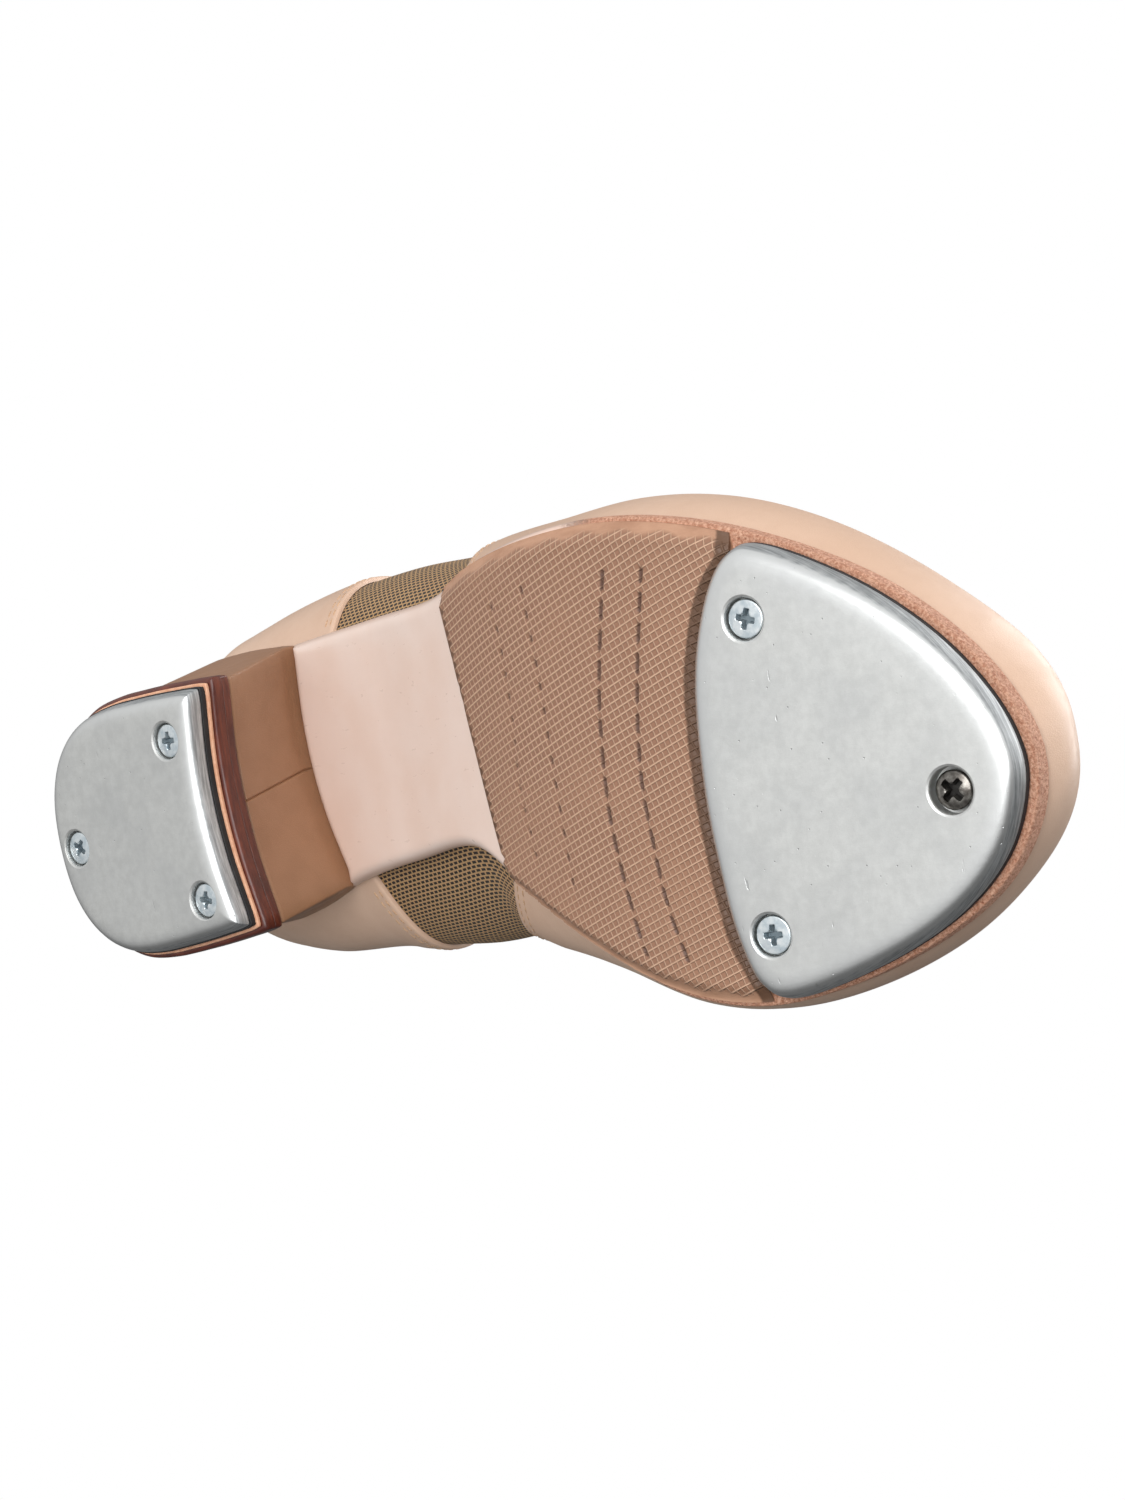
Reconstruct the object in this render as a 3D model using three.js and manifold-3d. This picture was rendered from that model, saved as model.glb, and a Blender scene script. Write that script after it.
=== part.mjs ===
// Heeled slip-on tap shoe, right foot, with elastic gores in the arch and screwed-on aluminium taps.
//
// Frame: +X is the medial (inner) side, +Y points to the heel, +Z is up, in millimetres. The shoe
// stands on its heel tap and on the rear edge of its toe tap. Everything is laid out along s, the
// distance from the back of the heel seat towards the toe, so y = -s.
import * as THREE from 'three';
import { mergeVertices } from 'three/addons/utils/BufferGeometryUtils.js';
import Module from 'manifold-3d';

const wasm = await Module();
wasm.setup();

// ---- driving dimensions -------------------------------------------------------------------------
const SOLE_LENGTH = 244; // back of the heel seat to the toe edge of the outsole
const BALL_WIDTH = 86.4; // widest width of the outsole
const WAIST_WIDTH = 49.6; // outsole under the arch
const SEAT_WIDTH = 57.8; // heel seat
const SEAT_HEIGHT = 38.5; // floor to the underside level of the sole at the back of the heel
const TOE_SPRING = THREE.MathUtils.degToRad(8.8); // rise of the forepart ahead of the ball

const TAP_THICKNESS = 4;
const TAP_BEVEL = 1.2; // bevel round the striking face
const TOE_TAP_LENGTH = 61;
const TAP_MARGIN = 0.6; // tap edge inside the sole edge
const GASKET_THICKNESS = 1;

const HEEL_TAP_BACK = 2.4; // s of the rear of the heel tap
const HEEL_TAP_FRONT = 55; // s of its front corners
const HEEL_TAP_WIDTH = 51.8;
const HEEL_TAP_FRONT_WIDTH = 48.6;
const LEATHER_LIFT = 1.2; // thin leather layer over the heel gasket
const TOP_LIFT = 5; // stacked leather top piece
const LEATHER_LIFT_PROUD = 0.9; // how far each layer stands outside the tap
const TOP_LIFT_PROUD = 1.8;
const HEEL_BASE_PROUD = 1.2; // covered heel, at its lower end
const HEEL_COVER = 1.2; // leather wrapped round the heel block
const BREAST_SEAM = 0.4; // open width of the cover's butt seam in the breast

const OUTSOLE = 3;
const RUBBER = 2; // half sole stuck over the tread
const RUBBER_REAR = 121; // s of the middle of its pinked rear edge
const RUBBER_TAP_GAP = 2; // bare strip between rubber and toe tap
const RUBBER_INSET = 0.3; // rubber edge inside the sole edge
const PINK_PITCH = 2.6;
const PINK_DEPTH = 1.4;
const FILLER = 1.5; // cork filler and steel shank, side by side under the insole
const SHANK_WIDTH = 14;
const SHANK_LENGTH = 82;
const INSOLE_BOARD = 2;
const SOCK = 2;

const UPPER_LEATHER = 1;
const ELASTIC = 0.9;
const LINING = 0.7;
const PLY_GAP = 0.6; // clearance between the plies of the upper
const FEATHER_INSET = 1; // foot of the upper inside the sole edge
const BULGE_HEIGHT = 22; // height above the sole where the walls are widest
const BINDING_HEIGHT = 3;
const BINDING_SEAT = 0.5; // clearance under the binding
const BINDING_PROUD = 0.4; // how far it stands out on both faces
const BACK_STRIP_WIDTH = 11;

const FIT = 0.3; // clearance between pieces that rest on a curved or turned face

const SCREW_HEAD = 6.8;
const SCREW_HEAD_DEPTH = 2.4;
const SCREW_SHANK = 3.2;
const TONE_HEAD = 6.8;
const HEEL_SCREW_LENGTH = 16;
const TOE_SCREW_LENGTH = 9;
const SCREW_SINK = 0.5; // heads lie this far under the tap's face
const NAIL = 1.8;
const NAIL_LENGTH = 18;
const SEAT_SCREW = 4.5; // wood screw that draws the heel on from inside

// ---- finishes -----------------------------------------------------------------------------------
const finish = (color, roughness, metalness = 0) => ({ color, roughness, metalness });
const TAN = finish(0xcfa583, 0.5);
const COVER_TAN = finish(0xb58d6e, 0.5);
const SHANK_LEATHER = finish(0xe3cabd, 0.45);
const HALF_SOLE = finish(0xa9806a, 0.8);
const ALUMINIUM = finish(0xc9cac8, 0.35, 1);
const ZINC = finish(0xd5dde2, 0.3, 1);
const NICKEL = finish(0x6c6a68, 0.3, 1);
const BLACK_FIBRE = finish(0x1c1a1a, 0.8);
const PEACH_LEATHER = finish(0xe0a077, 0.6);
const RED_LEATHER = finish(0x7a4030, 0.5);
const WOOD = finish(0xc8a97c, 0.7);
const STEEL = finish(0x8d9194, 0.4, 1);
const CORK = finish(0xa9825a, 0.9);
const BOARD = finish(0xcdb596, 0.9);
const SUEDE = finish(0xd9bd9c, 0.9);
const GORE_CLOTH = finish(0x6f6244, 0.9);
const CANVAS = finish(0xe4d3bb, 0.9);

// ---- small geometry kit -------------------------------------------------------------------------
const shoe = new THREE.Group();

// Cubic through knots [[x, y], ...]; outside them it runs on straight with the given end slopes.
function curveThrough(knots, x, startSlope, endSlope) {
  const last = knots.length - 1;
  if (x <= knots[0][0]) return knots[0][1] + (x - knots[0][0]) * startSlope;
  if (x >= knots[last][0]) return knots[last][1] + (x - knots[last][0]) * endSlope;
  const i = knots.findIndex(([kx]) => kx > x) - 1;
  const slopeAt = (k) => {
    if (k === 0) return startSlope;
    if (k === last) return endSlope;
    return (knots[k + 1][1] - knots[k - 1][1]) / (knots[k + 1][0] - knots[k - 1][0]);
  };
  const [x0, y0] = knots[i];
  const [x1, y1] = knots[i + 1];
  const w = x1 - x0;
  const t = (x - x0) / w;
  return (
    y0 * (1 + 2 * t) * (1 - t) ** 2 +
    slopeAt(i) * w * t * (1 - t) ** 2 +
    y1 * t * t * (3 - 2 * t) +
    slopeAt(i + 1) * w * t * t * (t - 1)
  );
}

// Uniform Catmull-Rom value of a list of number lists at position x, counted in list entries.
function along(list, x, closed) {
  const n = list.length;
  const top = closed ? n : n - 1;
  const place = closed ? ((x % n) + n) % n : Math.min(Math.max(x, 0), top - 1e-9);
  const i = Math.floor(place);
  const t = place - i;
  const pick = (k) => (closed ? list[(i + k + n) % n] : list[Math.min(Math.max(i + k, 0), n - 1)]);
  const [a, b, c, d] = [pick(-1), pick(0), pick(1), pick(2)];
  return b.map((_, k) => {
    const bend2 = 2 * a[k] - 5 * b[k] + 4 * c[k] - d[k];
    const bend3 = 3 * b[k] - a[k] - 3 * c[k] + d[k];
    return 0.5 * (2 * b[k] + (c[k] - a[k]) * t + bend2 * t * t + bend3 * t ** 3);
  });
}

// Closed geometry from a flat list of points and triangles, with doubles merged and faces outward.
function closedBody(points, triangles) {
  const raw = new THREE.BufferGeometry();
  raw.setAttribute('position', new THREE.Float32BufferAttribute(points.flat(), 3));
  raw.setIndex(triangles.flat());
  return tidyGeometry(raw);
}

function tidyGeometry(geometry) {
  geometry.deleteAttribute('normal');
  geometry.deleteAttribute('uv');
  const merged = mergeVertices(geometry, 1e-4);
  const old = merged.getIndex().array;
  const position = merged.getAttribute('position');
  const kept = [];
  let volume = 0;
  const [a, b, c] = [new THREE.Vector3(), new THREE.Vector3(), new THREE.Vector3()];
  for (let i = 0; i < old.length; i += 3) {
    const [p, q, r] = [old[i], old[i + 1], old[i + 2]];
    if (p === q || q === r || r === p) continue;
    kept.push(p, q, r);
    a.fromBufferAttribute(position, p);
    b.fromBufferAttribute(position, q);
    c.fromBufferAttribute(position, r);
    volume += a.dot(b.cross(c));
  }
  if (volume < 0) kept.reverse();
  merged.setIndex(kept);
  return merged;
}

function toSolid(geometry, matrix) {
  const clean = tidyGeometry(geometry.clone());
  if (matrix) clean.applyMatrix4(matrix);
  const mesh = new wasm.Mesh({
    numProp: 3,
    vertProperties: new Float32Array(clean.getAttribute('position').array),
    triVerts: new Uint32Array(clean.getIndex().array),
  });
  return new wasm.Manifold(mesh);
}

function fromSolid(solid) {
  const mesh = solid.getMesh();
  const geometry = new THREE.BufferGeometry();
  geometry.setAttribute('position', new THREE.BufferAttribute(new Float32Array(mesh.vertProperties), 3));
  geometry.setIndex(new THREE.BufferAttribute(new Uint32Array(mesh.triVerts), 1));
  return geometry;
}

const cutAll = (solid, tools) => tools.reduce((left, tool) => left.subtract(tool), solid);

function addPart(name, geometry, look, parent = shoe) {
  const mesh = new THREE.Mesh(geometry, new THREE.MeshStandardMaterial(look));
  mesh.name = name;
  parent.add(mesh);
  return mesh;
}

// Body lofted through closed rings of equally many points, capped flat at both ends.
function loft(rings) {
  const count = rings[0].length;
  const points = rings.flat();
  const triangles = [];
  for (let r = 0; r < rings.length - 1; r += 1) {
    for (let i = 0; i < count; i += 1) {
      const j = (i + 1) % count;
      const [a, b, c, d] = [r * count + i, r * count + j, (r + 1) * count + j, (r + 1) * count + i];
      triangles.push([a, b, c], [a, c, d]);
    }
  }
  const cap = (ring) => THREE.ShapeUtils.triangulateShape(
    ring.map(([x, y]) => new THREE.Vector2(x, y)), [],
  );
  const lastStart = (rings.length - 1) * count;
  // Side walls turn the same way as the ring, so the first cap is reversed and the last is not.
  const clockwise = THREE.ShapeUtils.isClockWise(rings[0].map(([x, y]) => new THREE.Vector2(x, y)));
  cap(rings[0]).forEach(([a, b, c]) => triangles.push(clockwise ? [a, b, c] : [c, b, a]));
  cap(rings.at(-1)).forEach(([a, b, c]) => {
    const face = [a + lastStart, b + lastStart, c + lastStart];
    triangles.push(clockwise ? face.reverse() : face);
  });
  return closedBody(points, triangles);
}

// Upright prism over a plan outline of [x, y] points.
const prism = (outline, low, high) => loft([
  outline.map(([x, y]) => [x, y, low]),
  outline.map(([x, y]) => [x, y, high]),
]);

// Plan outline moved inwards along its normals, by one distance or by a function of y.
function insetOutline(outline, inset) {
  const count = outline.length;
  const area = outline.reduce((sum, [x, y], i) => {
    const [nx, ny] = outline[(i + 1) % count];
    return sum + x * ny - nx * y;
  }, 0);
  return outline.map(([x, y], i) => {
    const [px, py] = outline[(i + count - 1) % count];
    const [nx, ny] = outline[(i + 1) % count];
    const [tx, ty] = [nx - px, ny - py];
    const distance = typeof inset === 'function' ? inset(y) : inset;
    const scale = (Math.sign(area) * distance) / Math.hypot(tx, ty);
    return [x - ty * scale, y + tx * scale];
  });
}

// ---- profile of the sole ------------------------------------------------------------------------
// The underside drops from the heel seat through the waist to the ball, then runs straight up the
// toe spring. Knots: share of the way from heel back to toe tap, share of the seat's height.
const TAP_REAR = SOLE_LENGTH - TOE_TAP_LENGTH;
const SPRING_SLOPE = Math.tan(TOE_SPRING);
const TAP_PIVOT = TAP_REAR + 0.93 * TAP_BEVEL; // line of the toe tap that touches the floor
const TAP_STACK = TAP_THICKNESS + GASKET_THICKNESS + 2 * FIT;
const BALL_LEVEL = TAP_STACK / Math.cos(TOE_SPRING);
const PROFILE = [
  [0, 1], [0.163, 0.934], [0.282, 0.854], [0.434, 0.642], [0.542, 0.43],
  [0.656, 0.2], [0.732, 0.084], [0.813, 0.005], [0.894, -0.022], [1, 0],
].map(([way, rise]) => [way * TAP_PIVOT, BALL_LEVEL + rise * (SEAT_HEIGHT - BALL_LEVEL)]);
const SEAT_SLOPE = -0.06;
const soleLevel = (s) => curveThrough(PROFILE, s, SEAT_SLOPE, SPRING_SLOPE);

const FACETS = 20; // straight strips that make up the curved part of every sole layer
const STATIONS = Array.from({ length: FACETS + 1 }, (_, i) => (i / FACETS) * TAP_PIVOT);
STATIONS.unshift(-30);
STATIONS.push(SOLE_LENGTH + 40);
const facetLevel = (s) => {
  const i = Math.max(1, STATIONS.findIndex((edge) => edge >= s));
  const t = (s - STATIONS[i - 1]) / (STATIONS[i] - STATIONS[i - 1]);
  return THREE.MathUtils.lerp(soleLevel(STATIONS[i - 1]), soleLevel(STATIONS[i]), t);
};

// Wide solid between two levels above the sole profile.
function strip(low, high) {
  const lower = STATIONS.map((s) => [s, soleLevel(s) + low]);
  const upper = STATIONS.map((s) => [s, soleLevel(s) + high]).reverse();
  const shape = new THREE.Shape([...lower, ...upper].map(([s, z]) => new THREE.Vector2(s, z)));
  const width = 3 * BALL_WIDTH;
  const geometry = new THREE.ExtrudeGeometry(shape, { depth: width, bevelEnabled: false });
  // Shape x, y and depth become -y, z and -x.
  const turn = new THREE.Matrix4().set(0, 0, -1, width / 2, -1, 0, 0, 0, 0, 1, 0, 0, 0, 0, 0, 1);
  return toSolid(geometry, turn);
}

const TALL = 200;
const slab = (outline, low, high) => toSolid(prism(outline, -TALL, TALL)).intersect(strip(low, high));

// ---- plan outline of the sole -------------------------------------------------------------------
// Rows: share of the sole length, centre line x, half width. Heel, waist and ball rows scale with
// their own widths. The first and last rows are the heel and toe ends.
const seatHalf = (share) => (share * SEAT_WIDTH) / 2;
const waistHalf = (share) => (share * WAIST_WIDTH) / 2;
const ballHalf = (share) => (share * BALL_WIDTH) / 2;
const PLAN = [
  [0, 2, 0],
  [0.016, 1.5, seatHalf(0.63)],
  [0.07, 0.4, seatHalf(0.96)],
  [0.143, -0.6, seatHalf(1)],
  [0.225, -5, waistHalf(1.05)],
  [0.336, -7.5, waistHalf(1)],
  [0.447, -8.8, waistHalf(0.99)],
  [0.523, -6.5, ballHalf(0.73)],
  [0.598, -2.4, ballHalf(0.88)],
  [0.68, 2.5, ballHalf(0.995)],
  [0.758, 6.2, ballHalf(1)],
  [0.832, 8.5, ballHalf(0.895)],
  [0.902, 10.5, ballHalf(0.718)],
  [0.955, 12.5, ballHalf(0.498)],
  [0.988, 13.6, ballHalf(0.25)],
  [1, 13.5, 0],
];
const LAST_ROW = PLAN.length - 1;
const planRows = PLAN.map(([share, centre, half]) => [share * SOLE_LENGTH, centre, half]);
const edgeLoop = [
  ...planRows.map(([s, centre, half]) => [centre - half, -s]),
  ...planRows.slice(1, LAST_ROW).reverse().map(([s, centre, half]) => [centre + half, -s]),
];
// Sole edge at a plan row counted from the heel, on the lateral (-1) or medial (+1) side.
const edgeAt = (row, side) => along(edgeLoop, side < 0 ? row : edgeLoop.length - row, true);
const soleOutline = (inset, perRow = 2) => insetOutline(
  Array.from({ length: edgeLoop.length * perRow }, (_, i) => along(edgeLoop, i / perRow, true)),
  inset,
);
// Plan row at which the sole edge is a distance s from the heel.
function rowAt(s) {
  const i = planRows.findIndex(([rowS]) => rowS > s);
  return i - 1 + (s - planRows[i - 1][0]) / (planRows[i][0] - planRows[i - 1][0]);
}

// ---- heel outlines ------------------------------------------------------------------------------
// D shape: a superellipse round the back, sides that draw in to the front corners and a hollow
// (concave) breast. The axis runs from the middle of the back to the middle of the front.
const HEEL_FOOT = {
  back: [3, HEEL_TAP_BACK],
  front: [-0.2, HEEL_TAP_FRONT],
  half: HEEL_TAP_WIDTH / 2,
  frontHalf: HEEL_TAP_FRONT_WIDTH / 2,
  hollow: 3.6,
};
const HEEL_SEAT = {
  back: [2, 0],
  front: [-4.7, HEEL_TAP_FRONT - 3.5],
  half: SEAT_WIDTH / 2,
  frontHalf: (1.04 * WAIST_WIDTH) / 2,
  hollow: 4.6,
};
const HEEL_ROUND = 2.3; // superellipse power of the back
const BACK_STEPS = 12;
const SIDE_STEPS = 4;
const BREAST_STEPS = 8;

function heelRing(d, grow, z) {
  const axis = new THREE.Vector2(d.front[0] - d.back[0], -(d.front[1] - d.back[1]));
  const reach = axis.length() + 2 * grow;
  axis.normalize();
  const half = d.half + grow;
  const frontHalf = d.frontHalf + grow;
  const wideAt = half * 0.95;
  const place = (run, across) => [
    d.back[0] + axis.x * (run - grow) - axis.y * across,
    -d.back[1] + axis.y * (run - grow) + axis.x * across,
    z,
  ];
  const sideAt = (q) => [wideAt + q * (reach - wideAt), half - (half - frontHalf) * q * q];
  const ring = [];
  const power = 2 / HEEL_ROUND;
  const cornerCut = 0.93; // share of the side that runs before the corner rounds
  for (let i = SIDE_STEPS; i > 0; i -= 1) {
    const [run, across] = sideAt((cornerCut * i) / SIDE_STEPS);
    ring.push(place(run, -across));
  }
  for (let i = 0; i <= BACK_STEPS; i += 1) {
    const angle = (Math.PI * i) / BACK_STEPS;
    const run = wideAt * (1 - Math.sin(angle) ** power);
    const across = -half * Math.sign(Math.cos(angle)) * Math.abs(Math.cos(angle)) ** power;
    ring.push(place(run, across));
  }
  for (let i = 1; i <= SIDE_STEPS; i += 1) {
    const [run, across] = sideAt((cornerCut * i) / SIDE_STEPS);
    ring.push(place(run, across));
  }
  for (let i = 0; i <= BREAST_STEPS; i += 1) {
    const across = 0.96 * frontHalf * (1 - (2 * i) / BREAST_STEPS);
    const dip = d.hollow * (1 - (across / frontHalf) ** 2);
    ring.push(place(reach - dip - (i === 0 || i === BREAST_STEPS ? 0.2 : 0), across));
  }
  return ring;
}

// Everything behind the breast line, with a clearance ahead of it, as a cutting tool.
function behindBreast(gap) {
  const ring = heelRing(HEEL_SEAT, 0, 0).slice(-(BREAST_STEPS + 1)).map(([x, y]) => [x, y - gap]);
  const wide = 2 * BALL_WIDTH;
  const back = 60;
  const plan = [
    ...ring, [-wide, ring.at(-1)[1] - 2], [-wide, back], [wide, back], [wide, ring[0][1] - 2],
  ];
  return toSolid(prism(plan, -TALL, TALL));
}

// ---- screws -------------------------------------------------------------------------------------
const lathe = (profile, segments = 12) => {
  const geometry = new THREE.LatheGeometry(profile.map(([r, z]) => new THREE.Vector2(r, z)), segments);
  geometry.rotateX(Math.PI / 2); // lathe axis to +Z
  return geometry;
};

// Cross recess that narrows towards its floor, sunk upwards into a head whose face is at z = 0.
function crossRecess(width, depth) {
  const blade = (length) => {
    const thin = width * 0.22;
    const rect = (l, t, z) => [
      [-l / 2, -t / 2, z], [l / 2, -t / 2, z], [l / 2, t / 2, z], [-l / 2, t / 2, z],
    ];
    const floor = rect(length * 0.45, thin * 0.5, depth);
    return toSolid(loft([rect(length, thin, -1), rect(length, thin, 0.1), floor]));
  };
  const quarterTurn = new THREE.Matrix4().makeRotationZ(Math.PI / 2);
  return blade(width).add(toSolid(fromSolid(blade(width)), quarterTurn));
}

// Countersunk screw, face down at z = 0 and its point up.
function flatScrew(head, headDepth, shank, length, recess) {
  const body = toSolid(lathe([
    [0, 0], [head / 2, 0], [head / 2, 0.4], [shank / 2, headDepth],
    [shank / 2, length - shank / 2], [0, length],
  ]));
  return fromSolid(body.subtract(crossRecess(recess, headDepth * 0.75)));
}

// Pan-head screw: a domed head with its underside at z = headDepth.
function panScrew(head, headDepth, shank, length, recess) {
  const body = toSolid(lathe([
    [0, 0], [head * 0.3, 0.1], [head * 0.44, headDepth * 0.4], [head / 2, headDepth * 0.8],
    [head / 2, headDepth], [shank / 2, headDepth], [shank / 2, length - shank / 2], [0, length],
  ]));
  return fromSolid(body.subtract(crossRecess(recess, headDepth * 0.8)));
}

// Hole for a screw: open at the face, FIT wider than the screw everywhere.
const screwHole = (head, headDepth, shank, length) => toSolid(lathe([
  [0, -2], [head / 2 + FIT, -2], [head / 2 + FIT, 0.4 + FIT], [shank / 2 + FIT, headDepth + FIT],
  [shank / 2 + FIT, length + FIT], [0, length + FIT],
]));

const counterbore = (head, headDepth, shank, length) => toSolid(lathe([
  [0, -2], [head / 2 + FIT, -2], [head / 2 + FIT, headDepth + FIT], [shank / 2 + FIT, headDepth + FIT],
  [shank / 2 + FIT, length + FIT], [0, length + FIT],
]));

const shifted = (solid, x, y, z) => solid.translate([x, y, z]);

// ---- heel: tap, gasket, lifts, block and cover ----------------------------------------------------
const heelGasketTop = TAP_THICKNESS + GASKET_THICKNESS;
const leatherLiftTop = heelGasketTop + LEATHER_LIFT;
const topLiftTop = leatherLiftTop + TOP_LIFT;
const SEAT_LEVEL = OUTSOLE; // heel block and outsole share one upper level

// Name, share of the tap's width from its middle line, share of the way to its front corners.
const HEEL_SCREWS = [
  ['heel_screw_lateral', -0.293436, 0.805455],
  ['heel_screw_medial', 0.34556, 0.858182],
  ['heel_screw_rear', 0.069498, 0.18],
].map(([name, across, ahead]) => [name, across * HEEL_TAP_WIDTH, -ahead * HEEL_TAP_FRONT]);
const heelHoles = HEEL_SCREWS.map(([, x, y]) => shifted(
  screwHole(SCREW_HEAD, SCREW_HEAD_DEPTH, SCREW_SHANK, HEEL_SCREW_LENGTH), x, y, SCREW_SINK,
));

const heelLayer = (grow, low, high) => cutAll(
  toSolid(loft([heelRing(HEEL_FOOT, grow, low), heelRing(HEEL_FOOT, grow, high)])), heelHoles,
);
const heelTapBody = toSolid(loft([
  heelRing(HEEL_FOOT, -TAP_BEVEL, 0),
  heelRing(HEEL_FOOT, 0, TAP_BEVEL),
  heelRing(HEEL_FOOT, 0, TAP_THICKNESS),
]));
addPart('heel_tap', fromSolid(cutAll(heelTapBody, heelHoles)), ALUMINIUM);
addPart('heel_tap_gasket', fromSolid(heelLayer(-0.2, TAP_THICKNESS, heelGasketTop)), BLACK_FIBRE);
const leatherLift = heelLayer(LEATHER_LIFT_PROUD, heelGasketTop, leatherLiftTop);
addPart('heel_leather_lift', fromSolid(leatherLift), PEACH_LEATHER);
const topLift = heelLayer(TOP_LIFT_PROUD, leatherLiftTop, topLiftTop);
addPart('heel_top_lift', fromSolid(topLift), RED_LEATHER);

for (const [name, x, y] of HEEL_SCREWS) {
  const screw = flatScrew(SCREW_HEAD, SCREW_HEAD_DEPTH, SCREW_SHANK, HEEL_SCREW_LENGTH, SCREW_HEAD * 0.6);
  addPart(name, screw, ZINC).position.set(x, y, SCREW_SINK);
}

const breastTop = soleLevel(HEEL_SEAT.front[1]);
const underSeat = strip(-TALL, SEAT_LEVEL);
function heelBody(shrink) {
  const rings = [0, 0.4, 0.8, 1].map((t) => {
    const mix = (a, b) => THREE.MathUtils.lerp(a, b, t);
    const shape = {
      back: [mix(HEEL_FOOT.back[0], HEEL_SEAT.back[0]), mix(HEEL_FOOT.back[1], HEEL_SEAT.back[1])],
      front: [mix(HEEL_FOOT.front[0], HEEL_SEAT.front[0]), mix(HEEL_FOOT.front[1], HEEL_SEAT.front[1])],
      half: mix(HEEL_FOOT.half, HEEL_SEAT.half),
      frontHalf: mix(HEEL_FOOT.frontHalf, HEEL_SEAT.frontHalf),
      hollow: mix(HEEL_FOOT.hollow, HEEL_SEAT.hollow),
    };
    return heelRing(shape, mix(HEEL_BASE_PROUD, 0) - shrink, mix(topLiftTop, breastTop));
  });
  rings.push(rings.at(-1).map(([x, y]) => [x, y, SEAT_HEIGHT + 2 * OUTSOLE])); // upright above the breast
  return toSolid(loft(rings));
}

// Fixings driven down from the seat: one screw in the middle and a ring of nails.
const fixingLevel = (y) => facetLevel(-y) + SEAT_LEVEL;
const SEAT_SCREW_AT = [0.5, -23]; // x, y
const NAILS = [[-13, -17], [15, -15], [-15, -37], [12, -37]];
const seatScrewHead = SEAT_SCREW * 2;
const ABOVE_SEAT = 3; // how far the drilled holes run out above the seat
const seatHole = (diameter, segments) => toSolid(lathe([
  [0, -NAIL_LENGTH - FIT], [diameter / 2 + FIT, -NAIL_LENGTH - FIT],
  [diameter / 2 + FIT, ABOVE_SEAT], [0, ABOVE_SEAT],
], segments));
const NAIL_SEGMENTS = 8;
const nailHole = seatHole(NAIL, NAIL_SEGMENTS);
const seatScrewHole = seatHole(SEAT_SCREW, 12);
const seatTools = [
  shifted(seatScrewHole, SEAT_SCREW_AT[0], SEAT_SCREW_AT[1], fixingLevel(SEAT_SCREW_AT[1])),
  ...NAILS.map(([x, y]) => shifted(nailHole, x, y, fixingLevel(y))),
];

const blockSolid = heelBody(HEEL_COVER + FIT).intersect(underSeat);
addPart('heel_block', fromSolid(cutAll(blockSolid, [...heelHoles, ...seatTools])), WOOD);
const slitX = (HEEL_FOOT.front[0] + HEEL_SEAT.front[0]) / 2 - 0.75; // middle of the breast
const slitFrom = -HEEL_TAP_FRONT - 15;
const slitTo = -HEEL_TAP_FRONT + 20;
const breastSlit = toSolid(prism([
  [slitX - BREAST_SEAM / 2, slitFrom], [slitX + BREAST_SEAM / 2, slitFrom],
  [slitX + BREAST_SEAM / 2, slitTo], [slitX - BREAST_SEAM / 2, slitTo],
], -TALL, TALL));
const coverSolid = heelBody(0).intersect(underSeat).subtract(heelBody(HEEL_COVER)).subtract(breastSlit);
addPart('heel_cover', fromSolid(coverSolid), COVER_TAN);

// ---- outsole, half sole and the layers inside the shoe --------------------------------------------
const toeFrame = new THREE.Group();
toeFrame.position.set(0, -TAP_PIVOT, 0);
toeFrame.rotation.x = -TOE_SPRING;
toeFrame.updateMatrix();
shoe.add(toeFrame);

// Rear edge of the toe tap, from its lateral to its medial corner: share of the half ball width
// from the centre line of the sole, distance ahead of the tap's rearmost line.
const TAP_REAR_CURVE = [
  [-0.83, 12.6], [-0.67, 6.8], [-0.35, 1.9], [0.08, 0], [0.45, 0.4], [0.72, 1.8], [0.91, 5],
];
const tapCentreX = 6.2;
const rearCurve = TAP_REAR_CURVE.map(([share, ahead]) => [
  tapCentreX + (share * BALL_WIDTH) / 2, -(TAP_REAR + ahead),
]);
// Front part of the tap: the sole edge with a small margin, from the medial corner round the toe.
const medialRow = rowAt(TAP_REAR + 12);
const lateralRow = rowAt(TAP_REAR + 20);
const tapEdge = (row, side) => {
  const [x, y] = edgeAt(row, side);
  const [ax, ay] = edgeAt(row - 0.05, side);
  const [bx, by] = edgeAt(Math.min(row + 0.05, LAST_ROW + 0.05), side);
  const length = Math.hypot(bx - ax, by - ay);
  return [x + (side * TAP_MARGIN * (by - ay)) / length, y - (side * TAP_MARGIN * (bx - ax)) / length];
};
const steps = (from, to, count) => (
  Array.from({ length: count }, (_, i) => from + ((to - from) * i) / (count - 1))
);
const tapKnots = [
  ...rearCurve,
  ...steps(medialRow, LAST_ROW - 0.4, 5).map((row) => tapEdge(row, 1)),
  ...steps(LAST_ROW - 0.4, lateralRow, 5).map((row) => tapEdge(row, -1)),
];
const TAP_PER_KNOT = 3;
const tapPlan = Array.from({ length: tapKnots.length * TAP_PER_KNOT }, (_, i) => (
  along(tapKnots, i / TAP_PER_KNOT, true)
));
// The tap lies in the tilted toe frame, so its length runs along the slope.
const toToe = ([x, y], z) => [x, (y + TAP_PIVOT) / Math.cos(TOE_SPRING), z];
const toeRing = (inset, z) => insetOutline(tapPlan, inset).map((point) => toToe(point, z));

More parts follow.
